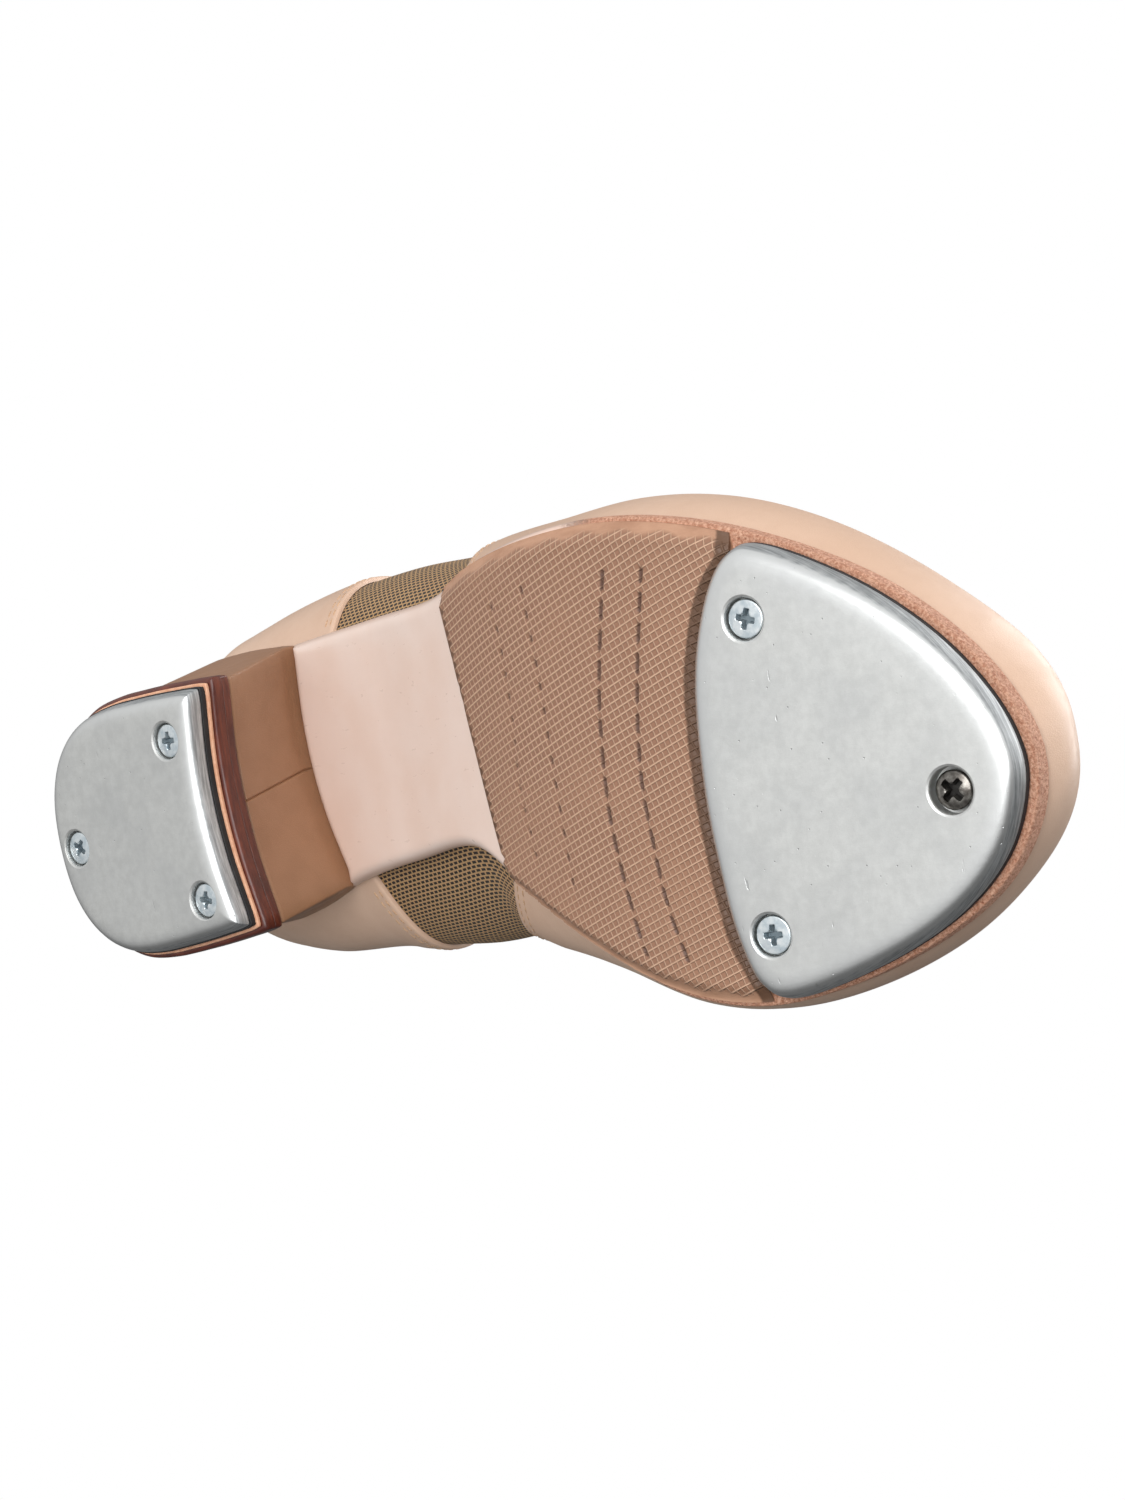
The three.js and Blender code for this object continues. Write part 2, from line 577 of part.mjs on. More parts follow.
// Name, share of the half ball width from the tap's middle, share of the tap's length from its
// rear, and whether it is the tone screw.
const TOE_SCREWS = [
  ['toe_screw_lateral', -0.555556, 0.245902, false],
  ['toe_screw_medial', 0.703704, 0.157377, false],
  ['tone_screw', 0.233796, 0.790164, true],
].map(([name, across, ahead, tone]) => [
  name, tapCentreX + (across * BALL_WIDTH) / 2, TAP_REAR + ahead * TOE_TAP_LENGTH, tone,
]);
const toeHoles = TOE_SCREWS.map(([, x, s, tone]) => {
  const hole = tone
    ? counterbore(TONE_HEAD, SCREW_HEAD_DEPTH, SCREW_SHANK, TOE_SCREW_LENGTH)
    : screwHole(SCREW_HEAD, SCREW_HEAD_DEPTH, SCREW_SHANK, TOE_SCREW_LENGTH);
  const [lx, ly] = toToe([x, -s]);
  return shifted(hole, lx, ly, SCREW_SINK);
});
const toeHolesPlaced = toeHoles.map((hole) => toSolid(fromSolid(hole), toeFrame.matrix));

const toeTapBody = toSolid(loft([
  toeRing(TAP_BEVEL, 0), toeRing(0, TAP_BEVEL), toeRing(0, TAP_THICKNESS),
]));
addPart('toe_tap', fromSolid(cutAll(toeTapBody, toeHoles)), ALUMINIUM, toeFrame);
const gasketLow = TAP_THICKNESS + FIT;
const GASKET_INSET = 0.5;
const toeGasket = toSolid(loft([
  toeRing(GASKET_INSET, gasketLow), toeRing(GASKET_INSET, gasketLow + GASKET_THICKNESS),
]));
addPart('toe_tap_gasket', fromSolid(cutAll(toeGasket, toeHoles)), BLACK_FIBRE, toeFrame);
for (const [name, x, s, tone] of TOE_SCREWS) {
  const screw = tone
    ? panScrew(TONE_HEAD, SCREW_HEAD_DEPTH, SCREW_SHANK, TOE_SCREW_LENGTH, TONE_HEAD * 0.62)
    : flatScrew(SCREW_HEAD, SCREW_HEAD_DEPTH, SCREW_SHANK, TOE_SCREW_LENGTH, SCREW_HEAD * 0.6);
  const [lx, ly] = toToe([x, -s]);
  addPart(name, screw, tone ? NICKEL : ZINC, toeFrame).position.set(lx, ly, SCREW_SINK);
}

const outsoleSolid = slab(soleOutline(0), 0, OUTSOLE).subtract(behindBreast(FIT));
addPart('outsole', fromSolid(cutAll(outsoleSolid, toeHolesPlaced)), SHANK_LEATHER);

// Half sole: flush with the sole edge, pinked behind, and shaped to the tap in front.
const pinkFrom = edgeAt(rowAt(RUBBER_REAR - 4), -1);
const pinkTo = edgeAt(rowAt(RUBBER_REAR + 4.5), 1);
const pinkLength = Math.hypot(pinkTo[0] - pinkFrom[0], pinkTo[1] - pinkFrom[1]) + 24;
const teeth = Math.round(pinkLength / PINK_PITCH);
const pinkDirection = [(pinkTo[0] - pinkFrom[0]), (pinkTo[1] - pinkFrom[1])].map(
  (d) => d / Math.hypot(pinkTo[0] - pinkFrom[0], pinkTo[1] - pinkFrom[1]),
);
const pinkEdge = Array.from({ length: 2 * teeth + 1 }, (_, i) => {
  const run = -12 + (i / (2 * teeth)) * pinkLength;
  const out = i % 2 ? PINK_DEPTH : 0;
  return [
    pinkFrom[0] + pinkDirection[0] * run - pinkDirection[1] * out,
    pinkFrom[1] + pinkDirection[1] * run + pinkDirection[0] * out,
  ];
});
const frontEdge = rearCurve.map(([x, y]) => [x, y + RUBBER_TAP_GAP]);
const rubberZone = [
  ...pinkEdge,
  [frontEdge.at(-1)[0] + 30, pinkEdge.at(-1)[1]],
  [frontEdge.at(-1)[0] + 30, frontEdge.at(-1)[1] - 6],
  ...frontEdge.slice().reverse(),
  [frontEdge[0][0] - 30, frontEdge[0][1] + 2],
  [frontEdge[0][0] - 30, pinkEdge[0][1]],
];
const rubberSheet = slab(soleOutline(RUBBER_INSET), -RUBBER - FIT, -FIT);
const rubberSolid = rubberSheet.intersect(toSolid(prism(rubberZone, -TALL, TALL)));
addPart('rubber_half_sole', fromSolid(rubberSolid), HALF_SOLE);

// Inner layers lie inside the walls of the upper.
const PLY_DEPTHS = {
  leather: [0, UPPER_LEATHER],
  middle: [UPPER_LEATHER + PLY_GAP, UPPER_LEATHER + PLY_GAP + ELASTIC],
};
PLY_DEPTHS.lining = [PLY_DEPTHS.middle[1] + PLY_GAP, PLY_DEPTHS.middle[1] + PLY_GAP + LINING];
const WALL_INSET = FEATHER_INSET + PLY_DEPTHS.lining[1] + FIT;
const TOE_LEAN = 5; // the toe walls lean in, so inner layers end this much shorter there
const insideWalls = (extra) => (y) => {
  const toToeEnd = THREE.MathUtils.smoothstep(-y, 0.82 * SOLE_LENGTH, 0.97 * SOLE_LENGTH);
  return WALL_INSET + extra + TOE_LEAN * toToeEnd;
};
const fillerLow = OUTSOLE + FIT;
const boardLow = fillerLow + FILLER + FIT;
const sockLow = boardLow + INSOLE_BOARD + FIT;
const SHANK_FRONT = RUBBER_REAR - 4;
const crossZone = (fromS, toS) => toSolid(prism(
  [[-TALL, -fromS], [-TALL, -toS], [TALL, -toS], [TALL, -fromS]], -TALL, TALL,
));
const fillerSolid = slab(soleOutline(insideWalls(3)), fillerLow, fillerLow + FILLER)
  .intersect(crossZone(RUBBER_REAR + 3, SOLE_LENGTH + 10));
addPart('cork_filler', fromSolid(cutAll(fillerSolid, toeHolesPlaced)), CORK);
const shankPlan = (() => {
  const [sFrom, sTo] = [SHANK_FRONT - SHANK_LENGTH, SHANK_FRONT];
  const middle = (s) => along(planRows, rowAt(s))[1];
  const half = SHANK_WIDTH / 2;
  const ends = [sFrom, sFrom + half, sTo - half, sTo];
  const widths = [0.55 * half, half, half, 0.55 * half];
  const left = ends.map((s, i) => [middle(s) - widths[i], -s]);
  const right = ends.map((s, i) => [middle(s) + widths[i], -s]).reverse();
  return [...left, ...right];
})();
addPart('steel_shank', fromSolid(slab(shankPlan, fillerLow, fillerLow + FILLER)), STEEL);
const boardSolid = slab(soleOutline(insideWalls(0)), boardLow, boardLow + INSOLE_BOARD);
addPart('insole_board', fromSolid(boardSolid), BOARD);
addPart('sock_pad', fromSolid(slab(soleOutline(insideWalls(0.8)), sockLow, sockLow + SOCK)), SUEDE);

const headRoom = FILLER + FIT; // fixing heads lie in the filler's layer
addPart('heel_seat_screw', lathe([
  [0, -NAIL_LENGTH], [SEAT_SCREW / 2, -NAIL_LENGTH + 3], [SEAT_SCREW / 2, 2 * FIT],
  [seatScrewHead / 2, 2 * FIT], [seatScrewHead / 2, headRoom - 0.2], [0, headRoom - 0.2],
], 12), ZINC).position.set(SEAT_SCREW_AT[0], SEAT_SCREW_AT[1], fixingLevel(SEAT_SCREW_AT[1]));
NAILS.forEach(([x, y], i) => {
  addPart(`heel_nail_${i + 1}`, lathe([
    [0, -NAIL_LENGTH], [NAIL / 2, -NAIL_LENGTH + 2], [NAIL / 2, FIT + 0.3],
    [NAIL * 1.1, FIT + 0.3], [NAIL * 1.1, headRoom - 0.4], [0, headRoom - 0.4],
  ], NAIL_SEGMENTS), STEEL).position.set(x, y, fixingLevel(y));
});

// ---- upper --------------------------------------------------------------------------------------
// One smooth surface carries every panel. At each plan row an arc rises from the lateral foot of
// the wall, over the ridge, and down to the medial foot. Rows, matched to PLAN: ridge as share of
// the sole length, x and height above the sole; how far the lateral and medial walls stand out;
// power of the arc (below 1 is boxier).
const RIDGE = [
  [0, 2, 0, 0, 0, 1],
  [-0.018, 2, 15, 4, 2, 0.9],
  [-0.014, 2, 38, 7.5, 5, 0.85],
  [0.012, 1.5, 56.5, 10.5, 10, 0.85],
  [0.123, -1, 78, 12.5, 18, 0.85],
  [0.262, -3, 84, 12.5, 22, 0.85],
  [0.381, -5, 82, 10.5, 22, 0.85],
  [0.488, -5, 73, 6.5, 17, 0.85],
  [0.566, -3, 65, 4, 11, 0.85],
  [0.643, 0, 55.5, 4, 8, 0.8],
  [0.721, 4, 47, 4.5, 5, 0.75],
  [0.807, 7.7, 38.7, 4, 3.5, 0.7],
  [0.889, 9.8, 31, 2.2, 2.2, 0.7],
  [0.963, 10.6, 21, 0.6, 0.2, 0.75],
  [0.998, 11.2, 9.5, 0, 0, 0.85],
  [1, 13.5, 0, 0, 0, 1],
];
const footLevel = (y) => facetLevel(-y) + OUTSOLE + FIT;

function footPoint(row, side) {
  const [x, y] = edgeAt(row, side);
  const [ax, ay] = edgeAt(row - 0.02, side);
  const [bx, by] = edgeAt(row + 0.02, side);
  const length = Math.hypot(bx - ax, by - ay);
  const out = [(-side * (by - ay)) / length, (side * (bx - ax)) / length];
  const foot = [x - out[0] * FEATHER_INSET, y - out[1] * FEATHER_INSET];
  return {
    foot: new THREE.Vector3(foot[0], foot[1], footLevel(foot[1])),
    out: new THREE.Vector3(out[0], out[1], 0),
  };
}

// The ridge meets the sole edge at the heel back and at the toe tip.
const ridgeLine = RIDGE.map(([share, x, height], row) => {
  if (row === 0 || row === LAST_ROW) return footPoint(row, 1).foot.toArray();
  const s = share * SOLE_LENGTH;
  return [x, -s, soleLevel(s) + OUTSOLE + FIT + height];
});
const wallShape = RIDGE.map((line) => line.slice(3));

function skin(row, angle) {
  const [lateral, medial, power] = along(wallShape, row);
  const ends = [footPoint(row, -1), footPoint(row, 1)];
  const middle = ends[0].foot.clone().add(ends[1].foot).multiplyScalar(0.5);
  const halfSpan = ends[1].foot.clone().sub(ends[0].foot).multiplyScalar(0.5);
  const rise = new THREE.Vector3(...along(ridgeLine, row)).sub(middle);
  const cos = Math.cos(angle);
  const height = Math.max(Math.sin(angle), 0) ** power;
  const peak = Math.min(BULGE_HEIGHT / Math.max(rise.z, 1), 0.45);
  const swell = (height / peak) * Math.exp(1 - height / peak) * (1 - height ** 4);
  const end = cos > 0 ? ends[0] : ends[1];
  return middle
    .addScaledVector(halfSpan, -Math.sign(cos) * Math.abs(cos) ** power)
    .addScaledVector(rise, height)
    .addScaledVector(end.out, swell * (cos > 0 ? lateral : medial));
}

// Point of the upper at a depth under its outer face, measured along the face's normal.
function upperPoint(row, angle, depth) {
  const e = 1e-3;
  const lo = 0.02;
  const r = Math.min(Math.max(row, lo), LAST_ROW - lo);
  const a = Math.min(Math.max(angle, 2 * e), Math.PI - 2 * e);
  const dr = skin(r + e, a).sub(skin(r - e, a));
  const da = skin(r, a + e).sub(skin(r, a - e));
  const normal = dr.cross(da).normalize();
  if (row <= lo) normal.set(0, 1, 0);
  if (row >= LAST_ROW - lo) normal.set(0, -1, 0);
  if (Math.sin(angle) < e) normal.setZ(0).normalize(); // every ply stands on the sole
  return skin(row, angle).addScaledVector(normal, -depth);
}

// Closed shell between two depths over a grid of [row, angle] places.
function shell(places, [outer, inner], adjust = (p) => p) {
  const rows = places.length;
  const columns = places[0].length;
  const layer = (depth) => places.map((line) => (
    line.map(([row, angle]) => adjust(upperPoint(row, angle, depth)).toArray())
  ));
  const points = [...layer(outer).flat(), ...layer(inner).flat()];
  const at = (side, i, j) => side * rows * columns + i * columns + j;
  const triangles = [];
  const quad = (a, b, c, d) => triangles.push([a, b, c], [a, c, d]);
  for (let i = 0; i < rows - 1; i += 1) {
    for (let j = 0; j < columns - 1; j += 1) {
      quad(at(0, i, j), at(0, i, j + 1), at(0, i + 1, j + 1), at(0, i + 1, j));
      quad(at(1, i, j), at(1, i + 1, j), at(1, i + 1, j + 1), at(1, i, j + 1));
    }
  }
  for (let i = 0; i < rows - 1; i += 1) {
    quad(at(0, i, 0), at(0, i + 1, 0), at(1, i + 1, 0), at(1, i, 0));
    quad(at(0, i, columns - 1), at(1, i, columns - 1), at(1, i + 1, columns - 1), at(0, i + 1, columns - 1));
  }
  for (let j = 0; j < columns - 1; j += 1) {
    quad(at(0, 0, j), at(1, 0, j), at(1, 0, j + 1), at(0, 0, j + 1));
    quad(at(0, rows - 1, j), at(0, rows - 1, j + 1), at(1, rows - 1, j + 1), at(1, rows - 1, j));
  }
  return closedBody(points, triangles);
}

// Foot opening, as an oval on the surface between the back top and the throat.
const BACK_ROW = 3;
const THROAT_ROW = 7;
const OPENING_DROP = THREE.MathUtils.degToRad(52); // how far the topline falls beside the ankle
const openingMiddle = (BACK_ROW + THROAT_ROW) / 2;
const openingHalf = (THROAT_ROW - BACK_ROW) / 2;
const QUARTER_TURN = Math.PI / 2;
function toplineAngle(row) {
  const reach = (row - openingMiddle) / openingHalf;
  return Math.abs(reach) >= 1 ? QUARTER_TURN : QUARTER_TURN - OPENING_DROP * Math.sqrt(1 - reach * reach);
}
// Wall height share 0..1 to angle, spaced closer near the sole where the wall bends most.
const WALL_CROWDING = 1.25;
const wallAngle = (share, topAngle) => topAngle * share ** WALL_CROWDING;
const mirrored = (angle, side) => (side < 0 ? angle : Math.PI - angle);

// Gore seams, as plan rows at the sole and how far they lean per full wall height.
const REAR_SEAM = 4.22;
const REAR_SEAM_LEAN = 0.45;
const FRONT_SEAM = 6.55;
const FRONT_SEAM_LEAN = -0.1;
const rearSeam = (share) => REAR_SEAM + REAR_SEAM_LEAN * share;
const frontSeam = (share) => FRONT_SEAM + FRONT_SEAM_LEAN * share;
const WALL_STEPS = 8;
const shares = Array.from({ length: WALL_STEPS + 1 }, (_, j) => j / WALL_STEPS);

// Quarter panel grid: columns crowd towards the back top, where the topline turns down. The last
// two columns lie at the rear gore seam and one tuck behind it.
const QUARTER_COLUMNS = [0, 0.35, 0.8, 1.4, 2.1, 2.7, BACK_ROW, 3.08, 3.35, 3.8, REAR_SEAM];
function quarterPlaces(side) {
  return QUARTER_COLUMNS.map((column) => shares.map((share) => {
    const lean = Math.max(column - BACK_ROW, 0) / (REAR_SEAM - BACK_ROW);
    const row = column + lean * REAR_SEAM_LEAN * share;
    return [row, mirrored(wallAngle(share, toplineAngle(row)), side)];
  }));
}

// Vamp grid: its rear edge runs up one front seam, round the throat and down the other.
const seamTopAngle = toplineAngle(frontSeam(1));
function vampRear(angle) {
  const folded = Math.min(angle, Math.PI - angle);
  if (folded <= seamTopAngle) return frontSeam((folded / seamTopAngle) ** (1 / WALL_CROWDING));
  const reach = (QUARTER_TURN - folded) / OPENING_DROP;
  return openingMiddle + openingHalf * Math.sqrt(1 - reach * reach);
}
const halfAngles = [
  ...shares.slice(0, -1).map((share) => wallAngle(share, seamTopAngle)),
  ...steps(seamTopAngle, QUARTER_TURN, 4).slice(0, -1),
];
const vampAngles = [...halfAngles, QUARTER_TURN, ...halfAngles.map((a) => Math.PI - a).reverse()];
const VAMP_COLUMNS = [0, 0.045, 0.12, 0.22, 0.33, 0.44, 0.55, 0.66, 0.76, 0.85, 0.93, 1];
const vampPlaces = VAMP_COLUMNS.map((t) => vampAngles.map((angle) => {
  const from = vampRear(angle);
  return [from + (LAST_ROW - from) * t, angle];
}));
addPart('vamp', shell(vampPlaces, PLY_DEPTHS.leather), TAN);
addPart('vamp_lining', shell(vampPlaces, PLY_DEPTHS.lining), CANVAS);
const PUFF_COLUMN = 7; // the stiffener covers the toe from this column on
addPart('toe_puff', shell(vampPlaces.slice(PUFF_COLUMN), PLY_DEPTHS.middle), BOARD);

// Pieces of one side keep clear of the back seam's middle line.
const seamX = RIDGE[1][1];
const beside = (side) => (point) => {
  const limit = seamX + (side * FIT) / 2;
  const nearBack = point.y > -BACK_STRIP_WIDTH;
  if (nearBack && (point.x - limit) * side < 0) point.setX(limit);
  return point;
};
const COUNTER_COLUMNS = 8;
const COUNTER_HEIGHT = 7; // wall steps covered by the heel stiffener
const GORE_STEPS = 5;
for (const [label, side] of [['lateral', -1], ['medial', 1]]) {
  const panel = quarterPlaces(side);
  const keepClear = beside(side);
  addPart(`quarter_${label}`, shell(panel, PLY_DEPTHS.leather, keepClear), TAN);
  addPart(`quarter_lining_${label}`, shell(panel, PLY_DEPTHS.lining, keepClear), CANVAS);
  const stiff = panel.slice(0, COUNTER_COLUMNS).map((line) => line.slice(0, COUNTER_HEIGHT));
  addPart(`heel_counter_${label}`, shell(stiff, PLY_DEPTHS.middle, keepClear), BOARD);

  // The elastic is tucked one grid column under the quarter and one under the vamp.
  const vampColumn = (k) => shares.map((_, j) => {
    const [row, angle] = vampPlaces[k][j];
    return [row, mirrored(angle, side)];
  });
  const middle = steps(0, 1, GORE_STEPS + 1).slice(1, -1).map((t) => shares.map((share) => {
    const mix = (from, to) => from + (to - from) * t;
    const top = toplineAngle(mix(rearSeam(1), frontSeam(1)));
    return [mix(rearSeam(share), frontSeam(share)), mirrored(wallAngle(share, top), side)];
  }));
  const gore = [...panel.slice(-2), ...middle, vampColumn(0), vampColumn(1)];
  addPart(`elastic_gore_${label}`, shell(gore, PLY_DEPTHS.middle), GORE_CLOTH);
}

// Binding round the topline, seated on the edges of leather and lining.
const toplineHalf = [
  ...quarterPlaces(-1).slice(QUARTER_COLUMNS.indexOf(BACK_ROW)).map((line) => line.at(-1)),
  ...steps(rearSeam(1), frontSeam(1), GORE_STEPS + 1).slice(1).map((row) => [row, toplineAngle(row)]),
  ...vampPlaces[0].slice(WALL_STEPS + 1, halfAngles.length + 1),
];
const topline = [
  ...toplineHalf,
  ...toplineHalf.slice(1, -1).reverse().map(([row, angle]) => [row, Math.PI - angle]),
];
function bindingRing() {
  const rings = topline.map(([row, angle]) => {
    const out = upperPoint(row, angle, 0);
    const inward = upperPoint(row, angle, 1).sub(out);
    return { out, inward };
  });
  const stepCount = rings.length;
  const centre = rings.reduce((sum, { out }) => sum.add(out), new THREE.Vector3()).divideScalar(stepCount);
  const points = rings.flatMap(({ out, inward }, i) => {
    const next = rings[(i + 1) % stepCount].out;
    const previous = rings[(i + stepCount - 1) % stepCount].out;
    const tangent = next.clone().sub(previous).normalize();
    const up = tangent.clone().cross(inward).normalize();
    if (up.dot(centre.clone().sub(out)) < 0) up.negate();
    const depth = PLY_DEPTHS.lining[1];
    const corner = (d, h) => out.clone().addScaledVector(inward, d).addScaledVector(up, h).toArray();
    return [
      corner(-BINDING_PROUD, BINDING_SEAT), corner(-BINDING_PROUD, BINDING_HEIGHT * 0.7),
      corner(depth * 0.3, BINDING_HEIGHT), corner(depth * 0.7, BINDING_HEIGHT),
      corner(depth + BINDING_PROUD, BINDING_HEIGHT * 0.7), corner(depth + BINDING_PROUD, BINDING_SEAT),
    ];
  });
  const width = 6;
  const triangles = [];
  for (let i = 0; i < stepCount; i += 1) {
    for (let j = 0; j < width; j += 1) {
      const [ni, nj] = [(i + 1) % stepCount, (j + 1) % width];
      const [a, b, c, d] = [i * width + j, i * width + nj, ni * width + nj, ni * width + j];
      triangles.push([a, b, c], [a, c, d]);
    }
  }
  return closedBody(points, triangles);
}
addPart('topline_binding', bindingRing(), TAN);

// Strip of leather over the back seam.
const stripRows = QUARTER_COLUMNS.slice(1, QUARTER_COLUMNS.indexOf(BACK_ROW));
const stripPlaces = stripRows.map((row) => {
  const turn = 0.05;
  const chord = skin(row, QUARTER_TURN - turn).distanceTo(skin(row, QUARTER_TURN + turn));
  const perMillimetre = (2 * turn) / chord;
  return steps(-1, 1, 5).map((t) => [row, QUARTER_TURN + (t * BACK_STRIP_WIDTH * perMillimetre) / 2]);
});
addPart('back_strip', shell(stripPlaces, [-FIT - UPPER_LEATHER, -FIT]), TAN);

// ---- origin: middle of the shoe's footprint, on the floor ----------------------------------------
shoe.updateMatrixWorld(true);
const box = new THREE.Box3().setFromObject(shoe, true);
const assembly = new THREE.Group();
shoe.position.set(-(box.min.x + box.max.x) / 2, -(box.min.y + box.max.y) / 2, 0);
assembly.add(shoe);

export default assembly;
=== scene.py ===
import bpy
import numpy as np
from mathutils import Matrix, Vector


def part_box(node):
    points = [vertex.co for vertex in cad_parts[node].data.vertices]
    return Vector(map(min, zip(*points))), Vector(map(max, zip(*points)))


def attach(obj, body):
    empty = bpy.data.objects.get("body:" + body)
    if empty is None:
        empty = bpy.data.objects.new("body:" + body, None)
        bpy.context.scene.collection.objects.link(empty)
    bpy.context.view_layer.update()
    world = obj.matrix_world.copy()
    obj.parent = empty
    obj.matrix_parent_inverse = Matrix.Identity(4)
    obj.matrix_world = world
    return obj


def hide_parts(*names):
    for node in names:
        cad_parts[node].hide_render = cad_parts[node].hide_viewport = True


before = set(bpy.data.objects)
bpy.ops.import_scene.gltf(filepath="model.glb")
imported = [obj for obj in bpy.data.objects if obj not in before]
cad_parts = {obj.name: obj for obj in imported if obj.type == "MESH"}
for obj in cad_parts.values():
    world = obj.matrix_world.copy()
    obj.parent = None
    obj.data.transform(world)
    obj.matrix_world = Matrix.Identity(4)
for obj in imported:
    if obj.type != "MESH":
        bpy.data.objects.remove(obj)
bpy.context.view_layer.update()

# ---- heel: wooden block under a leather cover ----------------------------------------------------
# The block is beech, wrapped in the same smooth leather as the upper. The cover is glued on, its
# two ends meeting in a butt seam down the hollow front face, which is called the breast.
#
# A shoe is made round its last, so every place below is in the last's own millimetres: x to the
# inner side, y = -s with s counted from the back of the heel seat to the toe, and z up from the
# floor. The rear heel screw, at s 9.9, ties these to the frame.
LOW, HIGH = (np.array(corner) * 1000 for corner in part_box("heel_screw_rear"))
LAST_SHIFT = np.array([*(LOW[:2] + HIGH[:2]) / 2 - [3.6, -9.9], 0])

SOLE_LENGTH = 244
SEAT, WAIST, BALL = 57.8 / 2, 49.6 / 2, 86.4 / 2  # half widths of the sole
SEAT_HEIGHT, TOE_SPRING = 38.5, np.radians(8.8)
OUTSOLE, FIT = 3.0, 0.3
TAP, TAP_BEVEL, GASKET, TOE_TAP_LENGTH = 4.0, 1.2, 1.0, 61
TAP_REAR = SOLE_LENGTH - TOE_TAP_LENGTH
TAP_PIVOT = TAP_REAR + 0.93 * TAP_BEVEL
BALL_LEVEL = (TAP + GASKET + 2 * FIT) / np.cos(TOE_SPRING)

# Underside of the sole, as shares of the way to the toe tap and of the seat's height.
ARCH = np.array([
    [0, 1], [0.163, 0.934], [0.282, 0.854], [0.434, 0.642], [0.542, 0.43],
    [0.656, 0.2], [0.732, 0.084], [0.813, 0.005], [0.894, -0.022], [1, 0],
])
ARCH = np.stack([ARCH[:, 0] * TAP_PIVOT, BALL_LEVEL + ARCH[:, 1] * (SEAT_HEIGHT - BALL_LEVEL)], 1)
SEAT_SLOPE = -0.06


def sole_level(s):
    """Height of the sole's underside: a cubic through the arch knots whose slope at each knot is
    that of the line between its neighbours, running on straight past both ends."""
    at, level = ARCH.T
    slope = np.concatenate([[SEAT_SLOPE], (level[2:] - level[:-2]) / (at[2:] - at[:-2]),
                            [np.tan(TOE_SPRING)]])
    i = np.clip(np.searchsorted(at, s, side="right") - 1, 0, len(at) - 2)
    w = at[i + 1] - at[i]
    t = np.clip((s - at[i]) / w, 0, 1)
    cubic = (level[i] * (1 + 2 * t) * (1 - t) ** 2 + slope[i] * w * t * (1 - t) ** 2
             + level[i + 1] * t * t * (3 - 2 * t) + slope[i + 1] * w * t * t * (t - 1))
    return cubic + np.minimum(s, 0) * SEAT_SLOPE + np.maximum(s - at[-1], 0) * slope[-1]


def along(rows, place, closed=False):
    """Uniform Catmull-Rom spline: the value between two rows is the cubic that leaves each with
    half the difference of the rows on either side of it."""
    rows, place = np.asarray(rows, float), np.asarray(place, float)
    n = len(rows)
    place = np.mod(place, n) if closed else np.clip(place, 0, n - 1 - 1e-9)
    i = np.floor(place).astype(int)
    t = (place - i)[..., None]
    a, b, c, d = (rows[(i + k) % n if closed else np.clip(i + k, 0, n - 1)] for k in (-1, 0, 1, 2))
    return b + 0.5 * t * (c - a + t * (2 * a - 5 * b + 4 * c - d + t * (3 * b - a - 3 * c + d)))


def unit(vectors):
    return vectors / np.linalg.norm(vectors, axis=-1, keepdims=True)


def circle(count):
    return np.linspace(0, 2 * np.pi, count, endpoint=False)


def ease(x, low, high):
    """0 below low, 1 above high, and 3t^2 - 2t^3 between."""
    t = np.clip((x - low) / (high - low), 0, 1)
    return t * t * (3 - 2 * t)


LIFT_FOOT = dict(back=(3, 2.4), front=(-0.2, 55), half=25.9, front_half=24.3, hollow=3.6)
HEEL_SEAT = dict(back=(2, 0), front=(-4.7, 51.5), half=SEAT, front_half=1.04 * WAIST, hollow=4.6)
HEEL_ROUND, CORNER_CUT = 2.3, 0.93
LIFTS_TOP = TAP + GASKET + 1.2 + 5
BREAST_TOP = sole_level(np.array(HEEL_SEAT["front"][1]))


def heel_knots(d, grow=0.0):
    """Knots of a heel's D outline: half a superellipse |a|^p + |b|^p = 1 round the back, sides
    that draw in as the square of the way forward, and a parabola hollowed across the front."""
    axis = np.array([d["front"][0] - d["back"][0], -(d["front"][1] - d["back"][1])], float)
    reach = np.linalg.norm(axis) + 2 * grow
    axis /= np.linalg.norm(axis)
    half, front_half = d["half"] + grow, d["front_half"] + grow
    wide_at = 0.95 * half
    q = CORNER_CUT * np.arange(1, 5) / 4
    side = np.stack([wide_at + q * (reach - wide_at), half - (half - front_half) * q * q], 1)
    turn = np.linspace(0, np.pi, 13)
    cos = np.cos(turn)
    back = np.stack([wide_at * (1 - np.abs(np.sin(turn)) ** (2 / HEEL_ROUND)),
                     -half * np.sign(cos) * np.abs(cos) ** (2 / HEEL_ROUND)], 1)
    across = 0.96 * front_half * np.linspace(1, -1, 9)
    dip = d["hollow"] * (1 - (across / front_half) ** 2)
    dip[[0, -1]] += 0.5
    breast = np.stack([reach - dip, across], 1)
    run, over = np.concatenate([side[::-1] * [1, -1], back, side, breast]).T
    run = run - grow
    return np.stack([d["back"][0] + axis[0] * run - axis[1] * over,
                     -d["back"][1] + axis[1] * run + axis[0] * over], 1)


HEEL_KNOTS = len(heel_knots(LIFT_FOOT))
SEAM_KNOT = HEEL_KNOTS - 5  # middle of the breast
SEAM_SHIFT = 0.033
HEEL_TURN = np.sort(np.concatenate([
    np.arange(0, HEEL_KNOTS, 0.2), SEAM_KNOT + SEAM_SHIFT + np.linspace(-0.14, 0.14, 15),
]))


def heel_outline(d, grow=0.0):
    return along(heel_knots(d, grow), HEEL_TURN, closed=True)


